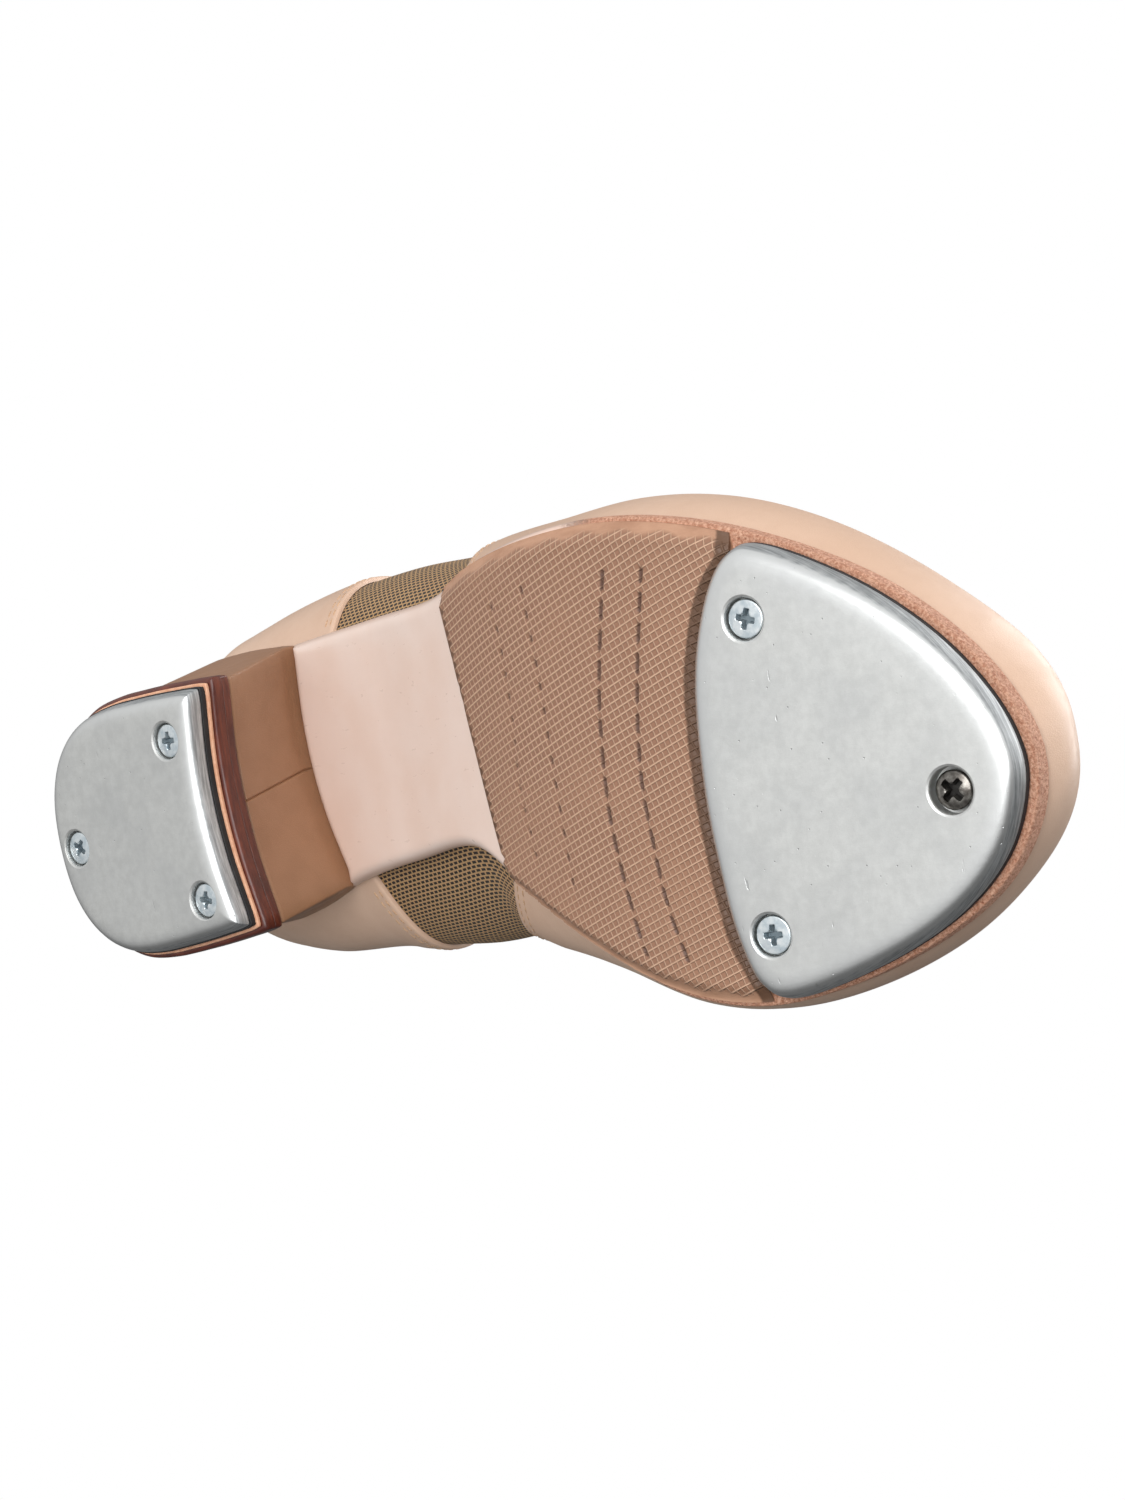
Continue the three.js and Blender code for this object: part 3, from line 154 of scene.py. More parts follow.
def quads(rows, columns, wrap=False):
    """Corner numbers of the faces of a grid whose points run along its columns first; wrap joins
    the last column to the first."""
    last = columns if wrap else columns - 1
    i, j = np.meshgrid(np.arange(rows - 1), np.arange(last), indexing="ij")
    k = (j + 1) % columns
    return np.stack([i * columns + j, i * columns + k, (i + 1) * columns + k,
                     (i + 1) * columns + j], -1).reshape(-1, 4)


def carry(mesh, name, values):
    """Puts a number on each point of a mesh, for its finish to read."""
    made = mesh.attributes.new(name, "FLOAT", "POINT")
    made.data.foreach_set("value", np.asarray(values, np.float32).ravel())


def place(name, data):
    made = bpy.data.objects.new(name, data)
    bpy.context.scene.collection.objects.link(made)
    return made


def make(name, points, faces, caps=(), sharp=38, fields=None, uv=None):
    """A mesh piece from last-millimetre points and corner numbers. Faces are turned outwards if
    the volume, the sum of a . (b x c) / 6 over them, comes out negative."""
    points = np.asarray(points, float).reshape(-1, 3)
    near = points - points.mean(0)
    a, b, c, d = (near[faces[:, k]] for k in range(4))
    inward = np.sum(a * (np.cross(b, c) + np.cross(c, d))) < 0
    rings = [*faces.tolist(), *[list(map(int, cap)) for cap in caps]]
    if inward:
        rings = [ring[::-1] for ring in rings]
    mesh = bpy.data.meshes.new(name)
    mesh.from_pydata(((points + LAST_SHIFT) / 1000).tolist(), [], rings)
    for field, values in (fields or {}).items():
        carry(mesh, field, values)
    if uv is not None:
        corners = np.zeros(len(mesh.loops), int)
        mesh.loops.foreach_get("vertex_index", corners)
        layer = mesh.uv_layers.new(name="Cloth")
        layer.data.foreach_set("uv", np.asarray(uv, np.float32).reshape(-1, 2)[corners].ravel())
    mesh.shade_smooth()
    mesh.set_sharp_from_angle(angle=np.radians(sharp))
    return place(name, mesh)


def stack(name, rings, sharp=38, **more):
    """Body through closed rings of equally many points, capped at both ends."""
    rings = np.asarray(rings, float)
    count, width = rings.shape[:2]
    caps = [np.arange(width)[::-1], np.arange(width) + (count - 1) * width]
    return make(name, rings, quads(count, width, wrap=True), caps, sharp, **more)


def fit_out(piece, body, slot, finish, *nodes):
    """Puts a finished piece on its body with its finish and the nodes it stands for."""
    piece.data.materials.clear()
    piece.data.materials.append(finish)
    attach(piece, body)
    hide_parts(*nodes)
    return piece


class Wire:
    """A socket of a material's node tree. Arithmetic on wires adds Math nodes."""

    def __init__(self, tree, socket=None):
        self.tree, self.socket = tree, socket

    def add(self, kind, settings=None, sockets=None, out=0):
        """A node of this kind: settings are made first, then sockets get values or wires."""
        node = self.tree.nodes.new("ShaderNode" + kind)
        for name, value in (settings or {}).items():
            if name == "stops":
                for place, _ in value[1:-1]:
                    node.color_ramp.elements.new(place)
                for stop, (place, colour) in zip(node.color_ramp.elements, value):
                    stop.position, stop.color = place, colour
            else:
                setattr(node, name, value)
        for key, value in (sockets or {}).items():
            if isinstance(value, Wire):
                self.tree.links.new(value.socket, node.inputs[key])
            else:
                node.inputs[key].default_value = value
        return Wire(self.tree, node.outputs[out])

    def maths(self, operation, a, b=0.0):
        return self.add("Math", {"operation": operation}, {0: a, 1: b})

    def __add__(self, other):
        return self.maths("ADD", self, other)

    def __sub__(self, other):
        return self.maths("SUBTRACT", self, other)

    def __rsub__(self, other):
        return self.maths("SUBTRACT", other, self)

    def __mul__(self, other):
        return self.maths("MULTIPLY", self, other)

    __radd__, __rmul__ = __add__, __mul__

    def step(self, low, high):
        """0 below low and 1 above high, smooth between."""
        return self.add("MapRange", {"interpolation_type": "SMOOTHSTEP"},
                        {"Value": self, "From Min": low, "From Max": high})

    def places(self, scale=(1, 1, 1), turn=0.0, source="Object"):
        """Millimetre coordinates of the surface, turned about the upright axis and stretched."""
        spot = self.add("TexCoord", out=source)
        size = 1000.0 if source == "Object" else 1.0
        return self.add("Mapping", {}, {"Vector": spot, "Rotation": (0, 0, turn),
                                        "Scale": tuple(size * k for k in scale)})

    def axis(self, spot, number):
        """One coordinate of a place: 0 for x, 1 for y, 2 for z."""
        return self.add("SeparateXYZ", {}, {0: spot}, out=number)

    def field(self, name):
        """A number that the mesh carries at each point."""
        return self.add("Attribute", {"attribute_name": name}, out="Fac")

    def noise(self, spot, size, detail=3.0, rough=0.55):
        """Fractal noise with features about size millimetres across."""
        return self.add("TexNoise", {}, {"Vector": spot, "Scale": 1 / size, "Detail": detail,
                                         "Roughness": rough})

    def blend(self, share, under, over):
        """Colour, as wires or hex codes: under where share is 0 and over where it is 1."""
        under, over = (tint(part) if isinstance(part, str) else part for part in (under, over))
        return self.add("Mix", {"data_type": "RGBA"}, {0: share, 6: under, 7: over}, out=2)

    def relief(self, height, on=None):
        """Surface normal of a height in millimetres, on another normal if one is given."""
        sockets = {"Height": height, "Distance": 0.001, "Strength": 1.0}
        if on is not None:
            sockets["Normal"] = on
        return self.add("Bump", {}, sockets)


def tint(code, alpha=1.0):
    """Linear colour of a hex code, by the sRGB curve."""
    value = np.array([int(code[i:i + 2], 16) for i in (0, 2, 4)]) / 255
    line = np.where(value <= 0.04045, value / 12.92, ((value + 0.055) / 1.055) ** 2.4)
    return (*line.tolist(), alpha)


def finish_of(name, fixed, paint):
    """Node finish: fixed values go straight on the shader's sockets, and paint(wire) returns
    what varies over the surface."""
    made = bpy.data.materials.new(name)
    made.use_nodes = True
    shader = made.node_tree.nodes["Principled BSDF"]
    for socket, value in fixed.items():
        shader.inputs[socket].default_value = value
    for socket, wire in paint(Wire(made.node_tree)).items():
        made.node_tree.links.new(wire.socket, shader.inputs[socket])
    return made


def smooth_leather(pale, middle, dark, grain=0.5):
    """Aniline calf: broad tone drift, faint cloudy mottling, fine pores and hairline creases."""
    def paint(wire):
        spot = wire.places()
        drift = wire.noise(spot, 60, 2).step(0.3, 0.7)
        cloud = wire.noise(spot, 7, 4).step(0.35, 0.72)
        pore = wire.add("TexVoronoi", {"feature": "DISTANCE_TO_EDGE"},
                        {"Vector": spot, "Scale": 1 / grain})
        hair = wire.noise(wire.places((1, 0.35, 1)), 1.6, 6, 0.7)
        colour = wire.blend(drift * 0.7, middle, pale)
        colour = wire.blend(cloud * 0.16, colour, dark)
        colour = wire.blend((1 - pore.step(0.0, 0.12)) * 0.1, colour, dark)
        height = pore.step(0.0, 0.25) * 0.018 + hair * 0.05
        return {"Base Color": colour, "Roughness": cloud * 0.12 + hair * 0.14 + 0.33,
                "Normal": wire.relief(height)}
    return paint


COVER_LEATHER = finish_of("heel cover leather", {"Coat Weight": 0.12, "Coat Roughness": 0.35},
                          smooth_leather("A67C5D", "9B7053", "7A563B"))


def heel_cover_rings():
    """Rings from the lifts to the seat: outline foot + t (seat - foot), where t grows with height
    up to the breast's top, and the seam sinks in as exp(-(way / width)^2)."""
    foot, seat = heel_outline(LIFT_FOOT, 1.2), heel_outline(HEEL_SEAT)
    top = sole_level(-seat[:, 1]) + OUTSOLE
    share = np.concatenate([[0, 0.006, 0.02], np.linspace(0.05, 0.95, 24),
                            [0.985, 0.995, 1]])[:, None]
    z = LIFTS_TOP + share * (top - LIFTS_TOP)
    t = np.clip((z - LIFTS_TOP) / (BREAST_TOP - LIFTS_TOP), 0, 1)[..., None]
    plan = foot + t * (seat - foot)
    middle = plan.mean(1, keepdims=True)
    outward = plan - middle
    outward = unit(outward)
    seam = 0.45 * np.exp(-(((HEEL_TURN - SEAM_KNOT - SEAM_SHIFT) / 0.035) ** 2))
    corner = 0.7 * (1 - ease(share, 0, 0.02)) + 0.35 * ease(share, 0.98, 1)
    inset = seam[None, :] * ease(1 - share, 0.02, 0.05) + corner
    return np.concatenate([plan - outward * inset[..., None], z[..., None]], -1)


fit_out(stack("heel_cover_leather", heel_cover_rings(), 60), "shoe", "cover_leather",
        COVER_LEATHER, "heel_cover")

# ---- heel lifts ----------------------------------------------------------------------------------
# Under the block come a stacked-leather top piece with a stained, burnished edge, a thin layer of
# natural leather, and a black fibre gasket that keeps the tap from ringing dead. All are glued and
# trimmed together, and the tap's three screws hold them.


def layer_rings(low, high, grow, soft):
    """Outline rings up a flat layer whose edges are rounded by the quarter circles r(1 - cos)."""
    turn = np.linspace(0, np.pi / 2, 5)
    levels = np.concatenate([low + soft * (1 - np.cos(turn)), high - soft * (1 - np.sin(turn))])
    insets = np.concatenate([soft * (1 - np.sin(turn)), soft * (1 - np.cos(turn))])
    return levels, grow - insets


def heel_layer(name, low, high, grow, soft):
    levels, grows = layer_rings(low, high, grow, soft)
    rings = [np.column_stack([heel_outline(LIFT_FOOT, g), np.full(len(HEEL_TURN), z)])
             for z, g in zip(levels, grows)]
    return stack(name, rings, 50)


PLY_LINE = TAP + GASKET + 3.9  # height of the joint between the top piece's two plies


def stained_edge(wire):
    """Burnished stack edge: red-brown stain streaked along the leather's fibres, with a darker
    line between two plies and scuffs that show paler."""
    spot = wire.places((0.12, 0.12, 1.0))
    streak = wire.noise(spot, 0.8, 5, 0.7)
    cloud = wire.noise(wire.places(), 5, 3)
    height = wire.axis(wire.places(), 2)
    ply = 1 - wire.maths("ABSOLUTE", height - PLY_LINE).step(0, 0.16)
    colour = wire.blend(streak.step(0.3, 0.75), "48150A", "70301A")
    colour = wire.blend(cloud.step(0.45, 0.8) * 0.6, colour, "3A150C")
    colour = wire.blend(ply * 0.4, colour, "2E1512")
    return {"Base Color": colour, "Roughness": streak * 0.25 + 0.28,
            "Normal": wire.relief(streak * 0.12 - ply * 0.1)}


def natural_edge(wire):
    """Undyed vegetable-tanned leather: peach, with short fibre flecks."""
    fleck = wire.noise(wire.places((0.4, 0.4, 1)), 0.5, 5, 0.7)
    cloud = wire.noise(wire.places(), 8, 3)
    colour = wire.blend(fleck.step(0.3, 0.75), "D59A78", "EDBD9D")
    return {"Base Color": wire.blend(cloud.step(0.4, 0.8) * 0.3, colour, "BC8163"),
            "Roughness": fleck * 0.3 + 0.45, "Normal": wire.relief(fleck * 0.06)}


def pressed_fibre(wire):
    """Black fibre sheet: matt, with pressed-in flecks and a dusty bloom."""
    fleck = wire.noise(wire.places(), 0.5, 4, 0.7)
    dust = wire.noise(wire.places(), 6, 4).step(0.5, 0.8)
    colour = wire.blend(fleck.step(0.3, 0.8), "17171A", "2C2A2B")
    return {"Base Color": wire.blend(dust * 0.3, colour, "4A4543"),
            "Roughness": fleck * 0.25 + 0.55, "Normal": wire.relief(fleck * 0.05)}


GASKET_TOP = GASKET + 0.3
GLUE = 0.02  # gap left between two glued layers
STACK = 5.0  # thickness of the top piece
GASKET_FIBRE = finish_of("gasket fibre", {}, pressed_fibre)
fit_out(heel_layer("heel_stack_lift", LIFTS_TOP - STACK, LIFTS_TOP - GLUE, 1.8, 0.9), "shoe",
        "red_leather", finish_of("stained stack edge", {"Coat Weight": 0.25}, stained_edge),
        "heel_top_lift")
natural_lift = heel_layer("heel_natural_lift", TAP + GASKET_TOP + GLUE, LIFTS_TOP - (STACK + GLUE),
                          0.85, 0.3)
fit_out(natural_lift, "shoe", "peach_leather",
        finish_of("natural leather edge", {}, natural_edge), "heel_leather_lift")
fit_out(heel_layer("heel_gasket", TAP + GLUE, TAP + GASKET_TOP, 0.3, 0.15), "shoe",
        "black_fibre", GASKET_FIBRE, "heel_tap_gasket")

# ---- taps ----------------------------------------------------------------------------------------
# Both taps are cast aluminium plates 4 mm thick, tumbled matt and buffed bright round the edge,
# where they strike. Each has three countersunk holes. The heel tap follows the lifts, and the toe
# tap fills the forepart of the sole out to its edge and tilts up with the toe spring.
HEEL_SCREWS = {"heel_screw_lateral": (-15.2, 44.3), "heel_screw_medial": (17.9, 47.2),
               "heel_screw_rear": (3.6, 9.9)}
TOE_SCREWS = {"toe_screw_lateral": (-17.8, TAP_REAR + 15),
              "toe_screw_medial": (36.6, TAP_REAR + 9.6),
              "tone_screw": (16.3, TAP_REAR + 48.2)}
SCREW_HEAD, SCREW_SINK, TONE_HEAD = 6.8, 0.7, 6.8
# Edge of a tap from its upper face round to the striking face: height, distance inside the outline.
TAP_EDGE = np.array([[4, 0.2], [3.92, 0.06], [3.7, 0], [2.8, 0.22], [1.9, 0.5], [1.35, 0.78],
                     [0.95, 1.1], [0.6, 1.55], [0.34, 2.15], [0.16, 2.9], [0.05, 3.8], [0, 4.9]])
# Plan of the sole: share of its length, x of its middle, half its width.
PLAN = np.array([
    [0, 2, 0], [0.016, 1.5, 0.63 * SEAT], [0.07, 0.4, 0.96 * SEAT], [0.143, -0.6, SEAT],
    [0.225, -5, 1.05 * WAIST], [0.336, -7.5, WAIST], [0.447, -8.8, 0.99 * WAIST],
    [0.523, -6.5, 0.73 * BALL], [0.598, -2.4, 0.88 * BALL], [0.68, 2.5, 0.995 * BALL],
    [0.758, 6.2, BALL], [0.832, 8.5, 0.895 * BALL], [0.902, 10.5, 0.718 * BALL],
    [0.955, 12.5, 0.498 * BALL], [0.988, 13.6, 0.25 * BALL], [1, 13.5, 0],
]) * [SOLE_LENGTH, 1, 1]
TOE_ROW = len(PLAN) - 1
EDGE_LOOP = np.concatenate([
    np.stack([PLAN[:, 1] - PLAN[:, 2], -PLAN[:, 0]], 1),
    np.stack([PLAN[:, 1] + PLAN[:, 2], -PLAN[:, 0]], 1)[-2:0:-1],
])


def edge_at(row, side):
    """Sole edge at a plan row: the closed spline through all rows, read forwards on the outer
    side (-1) and backwards on the inner side (+1)."""
    row = np.asarray(row, float)
    return along(EDGE_LOOP, row if side < 0 else len(EDGE_LOOP) - row, closed=True)


ROWS = np.linspace(0, TOE_ROW, 1501)
ROW_S = -edge_at(ROWS, -1)[:, 1]


def row_at(s):
    """Plan row whose edge lies at s, read back from a fine table."""
    return np.interp(s, ROW_S, ROWS)


TAP_CENTRE_X = 6.2
TAP_REAR_EDGE = np.array([[-0.83, 12.6], [-0.67, 6.8], [-0.35, 1.9], [0.08, 0], [0.45, 0.4],
                          [0.72, 1.8], [0.91, 5]])
REAR_KNOTS = np.stack([TAP_CENTRE_X + TAP_REAR_EDGE[:, 0] * BALL,
                       -(TAP_REAR + TAP_REAR_EDGE[:, 1])], 1)
TAP_INSET = 0.6  # how far the toe tap stands inside the sole's edge


def inside_edge(row, side, inset):
    """Sole edge moved in along its own normal, which is square to the spline's tangent."""
    ahead = edge_at(np.asarray(row) + 0.05, side) - edge_at(np.asarray(row) - 0.05, side)
    ahead = unit(ahead)
    out = np.stack([-side * ahead[..., 1], side * ahead[..., 0]], -1)
    return edge_at(row, side) - out * inset, out


def toe_tap_outline():
    """The tap's closed outline: its rear curve, then the sole's edge moved in."""
    inner = np.linspace(row_at(TAP_REAR + 12), TOE_ROW - 0.4, 5)
    outer = np.linspace(TOE_ROW - 0.4, row_at(TAP_REAR + 20), 5)
    knots = np.concatenate([REAR_KNOTS, inside_edge(inner, 1, TAP_INSET)[0],
                            inside_edge(outer, -1, TAP_INSET)[0]])
    return along(knots, np.arange(0, len(knots), 0.08), closed=True)


def drawn_in(outline, inset):
    """Outline moved inwards in short steps along the normal of the chord between a point's
    neighbours. Each step but a first short one is evened by (before + 2 point + after) / 4."""
    x, y = outline.T
    turn = np.sign(np.sum(x * np.roll(y, -1) - np.roll(x, -1) * y))
    for step in np.diff(np.concatenate([np.arange(0, inset, 0.35), [inset]])):
        chord = np.roll(outline, -1, 0) - np.roll(outline, 1, 0)
        chord = unit(chord)
        outline = outline + step * turn * np.stack([-chord[:, 1], chord[:, 0]], 1)
        if inset > 1:
            outline = (np.roll(outline, -1, 0) + 2 * outline + np.roll(outline, 1, 0)) / 4
    return outline


def plate_rings(inside, edge=TAP_EDGE):
    """Flat rings of a plate: outwards over its upper face, round the edge table, and inwards over
    the striking face. A ring within a face is middle + share * (face's edge - middle), and
    inside(d) gives the plate's outline d millimetres in."""
    round_edge = [np.insert(inside(inset), 2, z, axis=1) for z, inset in edge]
    middle = round_edge[0].mean(0)[:2]

    def within(ring, share):
        return np.column_stack([middle + share * (ring[:, :2] - middle), ring[:, 2]])
    return ([within(round_edge[0], share) for share in (0.04, 0.35, 0.7)] + round_edge
            + [within(round_edge[-1], share) for share in (0.8, 0.6, 0.4, 0.2, 0.04)])


def on_toe_slope(points):
    """Flat points, z up from the striking face, turned about the tap's rear edge by the spring."""
    x, y, z = np.moveaxis(np.asarray(points, float), -1, 0)
    run = (y + TAP_PIVOT) / np.cos(TOE_SPRING)
    return np.stack([x, -TAP_PIVOT + run * np.cos(TOE_SPRING) + z * np.sin(TOE_SPRING),
                     z * np.cos(TOE_SPRING) - run * np.sin(TOE_SPRING)], -1)


def lathed(profile, x, y, turn=64):
    """Rings of a turned body about an upright axis at x, y, from (radius, height) pairs."""
    angle = circle(turn)
    radius, height = np.asarray(profile, float).T
    return np.stack([x + radius[:, None] * np.cos(angle), y + radius[:, None] * np.sin(angle),
                     np.repeat(height[:, None], turn, 1)], -1)


def drill(plate, screws, tilt):
    """Sinks a blind hole for each screw's head. Its cutter is a cylinder that flares at the
    striking face; the hole is wider for the tone screw, so that its head can turn."""
    for name, (x, s) in screws.items():
        wall = SCREW_HEAD / 2 + (0.6 if name == "tone_screw" else 0.35)
        rings = lathed([(wall + 1.3, -1.0), (wall + 0.5, 0.0), (wall + 0.12, 0.22), (wall, 0.5),
                        (wall, 2.7), (wall - 1.2, 3.0)], x, -s)
        cutter = stack("countersink", tilt(rings))
        cut = plate.modifiers.new("cut", "BOOLEAN")
        cut.operation, cut.solver, cut.object = "DIFFERENCE", "MANIFOLD", cutter
        drilled = bpy.data.meshes.new_from_object(
            plate.evaluated_get(bpy.context.evaluated_depsgraph_get()))
        plate.modifiers.clear()
        plate.data = drilled
        bpy.data.objects.remove(cutter)
    plate.data.shade_smooth()
    plate.data.set_sharp_from_angle(angle=np.radians(22))
    return plate


def cast_aluminium(wire):
    """Tumbled casting: faint grey clouds, a fine grain, pinhole pits, drawn streaks and nicks.
    Where the 'buffed' field is 1 the metal is bright and smooth; where 'wall' is 1 it is filed."""
    spot = wire.places()
    cloud = wire.noise(spot, 2.2, 6, 0.7)
    broad = wire.noise(spot, 14, 3)
    grit = wire.noise(spot, 0.3, 4, 0.75)
    streak = wire.noise(wire.places((1, 0.06, 1), 0.35), 0.8, 4, 0.6)
    filed = wire.noise(wire.places((0.1, 0.1, 2.2)), 0.7, 4, 0.7)
    pit = 1 - wire.add("TexVoronoi", {}, {"Vector": spot, "Scale": 0.4}).step(0.02, 0.07)
    nick = wire.noise(wire.places((0.3, 1.6, 1), -0.7), 2.2, 2).step(0.72, 0.77)
    buffed = wire.field("buffed")
    wall = wire.field("wall")
    metal = wire.blend(cloud.step(0.3, 0.72), "D1D2D0", "DCDDDB")
    metal = wire.blend(broad.step(0.35, 0.75) * 0.3, metal, "BABCBD")
    metal = wire.blend(grit.step(0.6, 0.8) * 0.35, metal, "A9ABAB")
    # Painted shade: pinhole pits are painted dark grey, as shade inside the holes.
    metal = wire.blend(pit * 0.6, metal, "6E7173")
    metal = wire.blend(nick * 0.35, metal, "8C8F90")
    metal = wire.blend(buffed * 0.7, metal, "E6E8E8")
    filing = wire.blend(filed.step(0.35, 0.7), "A0A3A5", "D3D6D7")
    rough = cloud * 0.1 + grit * 0.14 + 0.36 - buffed * 0.2 + streak * 0.05 + wall * 0.22
    return {"Base Color": wire.blend(wall, metal, filing), "Metallic": 1 - pit * 0.5,
            "Roughness": rough,
            "Normal": wire.relief(grit * 0.014 + cloud * 0.014 + streak * 0.012 - pit * 0.08
                                  - nick * 0.05 + filed * wall * 0.05)}


CAST_ALUMINIUM = finish_of("cast aluminium", {}, cast_aluminium)


def buff(plate, outline, reach, height_of):
    """Fields of a drilled tap. 'buffed' falls from 1 on the outline to 0 at reach millimetres in;
    'wall' is 1 on the upright part of the edge, by height over the striking face."""
    spots = np.zeros(len(plate.data.vertices) * 3)
    plate.data.vertices.foreach_get("co", spots)
    spots = spots.reshape(-1, 3) * 1000 - LAST_SHIFT
    away = np.linalg.norm(spots[:, None, :2] - outline[None, ::2], axis=-1).min(1)
    for name, values in (("buffed", 1 - ease(away, reach * 0.3, reach)),
                         ("wall", ease(height_of(spots), 0.9, 1.4) * (1 - ease(away, 1, 2)))):
        carry(plate.data, name, values)
    return plate


def heel_plan(inset):
    return along(heel_knots(LIFT_FOOT, -inset), np.arange(0, HEEL_KNOTS, 0.2), closed=True)


heel_tap = drill(stack("heel_tap_plate", plate_rings(heel_plan)), HEEL_SCREWS, lambda p: p)
fit_out(buff(heel_tap, heel_plan(0), 4.0, lambda p: p[:, 2]), "shoe", "aluminium", CAST_ALUMINIUM,
        "heel_tap")

toe_plan = toe_tap_outline()
toe_tap = drill(stack("toe_tap_plate", on_toe_slope(plate_rings(lambda d: drawn_in(toe_plan, d)))),
                TOE_SCREWS, on_toe_slope)
toe_tap = buff(toe_tap, toe_plan, 6.5, lambda p: (p[:, 1] + TAP_PIVOT) * np.sin(TOE_SPRING)
               + p[:, 2] * np.cos(TOE_SPRING))
fit_out(toe_tap, "shoe", "aluminium", CAST_ALUMINIUM, "toe_tap")
GASKET_EDGE = [(TAP + 1.28, 0.15), (TAP + 1.2, 0.0), (TAP + 0.1, 0.0), (TAP + 0.02, 0.15)]
toe_gasket = stack("toe_gasket", on_toe_slope(plate_rings(lambda d: drawn_in(toe_plan, d),
                                                          GASKET_EDGE)), 50)
fit_out(toe_gasket, "shoe", "black_fibre", GASKET_FIBRE, "toe_tap_gasket")

# ---- screws --------------------------------------------------------------------------------------
# Five zinc-plated wood screws with flat cross-recess heads hold the taps. The sixth, at the toe,
# is a nickel pan-head machine screw: dancers turn it to set how freely the tap rings, so it alone
# moves.


FACE_RINGS, SCREW_TURNS = 35, 112


def screw_rings(head, dome, recess, deep, length):
    """Rings from the middle of the head outwards and down to the point. The face's height is the
    dome less a cross: the deeper of two crossed slots, each a soft box in x and in y."""
    inner = np.concatenate([[0.02], np.linspace(0.12, head / 2 - 0.22, FACE_RINGS - 1)])
    angle = circle(SCREW_TURNS)
    x, y = inner[:, None] * np.cos(angle), inner[:, None] * np.sin(angle)

    def slot(run, across):
        taper = recess * 0.13 * (1.15 - 0.5 * np.abs(run) / recess)
        return ((1 - ease(np.abs(run), recess / 2 - 0.25, recess / 2 + 0.1))
                * (1 - ease(np.abs(across), taper - 0.1, taper + 0.12)))
    funnel = 0.75 * (1 - ease(np.hypot(x, y), 0, recess * 0.36))
    cross = np.maximum(np.maximum(slot(x, y), slot(y, x)), funnel)
    z = -dome * (1 - (np.hypot(x, y) / (head / 2)) ** 2) + dome + cross * deep
    face = np.stack([x, y, z], -1)
    rim = [(head / 2 - 0.1, dome + 0.02), (head / 2, dome + 0.14), (head / 2, dome + 0.5),
           (1.6, dome + 2.3), (1.6, length - 1.8), (0.1, length)]
    return np.concatenate([face, lathed(rim, 0, 0, SCREW_TURNS)])


def plated(pale, dark, recess_shade, roughness):
    """Plated steel: faint turning rings, a cloudy passivation tint, and painted shade down in the
    cross recess, where 'deep' is 1.
    """
    def paint(wire):
        spot = wire.places()
        cloud = wire.noise(spot, 1.6, 4, 0.6)
        grit = wire.noise(spot, 0.25, 3, 0.6)
        deep = wire.field("deep")
        colour = wire.blend(cloud.step(0.3, 0.7), dark, pale)
        # Painted shade: the cross recess is painted dark by 'deep', and made rougher and less
        # metallic.
        return {"Base Color": wire.blend(deep * 0.85, colour, recess_shade),
                "Roughness": cloud * 0.12 + deep * 0.25 + roughness, "Metallic": 1 - deep * 0.4,
                "Normal": wire.relief(grit * 0.015)}
    return paint


ZINC = finish_of("bright zinc", {}, plated("EEF4F6", "C6D3DA", "5C6B73", 0.24))
NICKEL = finish_of("dark nickel", {}, plated("8C8984", "4F4B47", "0C0B0B", 0.2))

SCREW_TWIST = {"heel_screw_rear": 35, "heel_screw_medial": 12, "toe_screw_lateral": 20,
               "tone_screw": 48}
# Head width, dome, width and depth of the recess.
TONE_FORM, TAP_FORM = (TONE_HEAD, 0.8, 4.3, 1.8), (SCREW_HEAD, 0.18, 3.6, 1.4)
TOE_LENGTH, HEEL_LENGTH = 9, 16

for name, (x, s) in [*HEEL_SCREWS.items(), *TOE_SCREWS.items()]:
    tone = name == "tone_screw"
    head, dome, recess, deep = TONE_FORM if tone else TAP_FORM
    length = TOE_LENGTH if name in TOE_SCREWS else HEEL_LENGTH
    rings = screw_rings(head, dome, recess, deep, length)
    depth = np.zeros(rings.shape[:2])
    face = rings[:FACE_RINGS]
    # 'deep' runs from 0 on the head's face to 1 down in the cross recess, where the finish paints
    # shade.
    depth[:FACE_RINGS] = ease(face[..., 2] - dome * (np.hypot(face[..., 0], face[..., 1])
                                                     / (head / 2)) ** 2, 0.15, 0.9 * deep)
    twist = np.radians(SCREW_TWIST.get(name, 3))
    turned = rings.copy()
    turned[..., 0] = rings[..., 0] * np.cos(twist) - rings[..., 1] * np.sin(twist) + x
    turned[..., 1] = rings[..., 0] * np.sin(twist) + rings[..., 1] * np.cos(twist) - s
    turned[..., 2] += SCREW_SINK - (0.25 if tone else 0.0)
    made = stack(name + "_plated", on_toe_slope(turned) if name in TOE_SCREWS else turned, 40,
                 fields={"deep": depth})
    fit_out(made, "tone_screw" if tone else "shoe", "nickel_steel" if tone else "zinc_steel",
            NICKEL if tone else ZINC, name)

# ---- outsole -------------------------------------------------------------------------------------
# One piece of 3 mm sole leather from the breast of the heel to the toe. Under the arch it is
# painted shell pink, waxed and rounded off at its edges; ahead of the ball its edge is left
# natural and sanded rough. It is glued to the lasted upper.
BREAST = heel_outline(HEEL_SEAT)
BREAST = BREAST[(HEEL_TURN > HEEL_KNOTS - 9) & (HEEL_TURN < HEEL_KNOTS - 1)]
BREAST = BREAST[np.argsort(BREAST[:, 0])]


def breast_s(x):
    """Where the heel's front face crosses x, read from its outline."""
    return -np.interp(x, BREAST[:, 0], BREAST[:, 1])


def sole_spot(s, across):
    """x at share across (0 outer edge, 1 inner edge) of the sole at s."""
    row = row_at(s)
    outer, inner = edge_at(row, -1)[..., 0], edge_at(row, 1)[..., 0]
    return outer + across * (inner - outer)


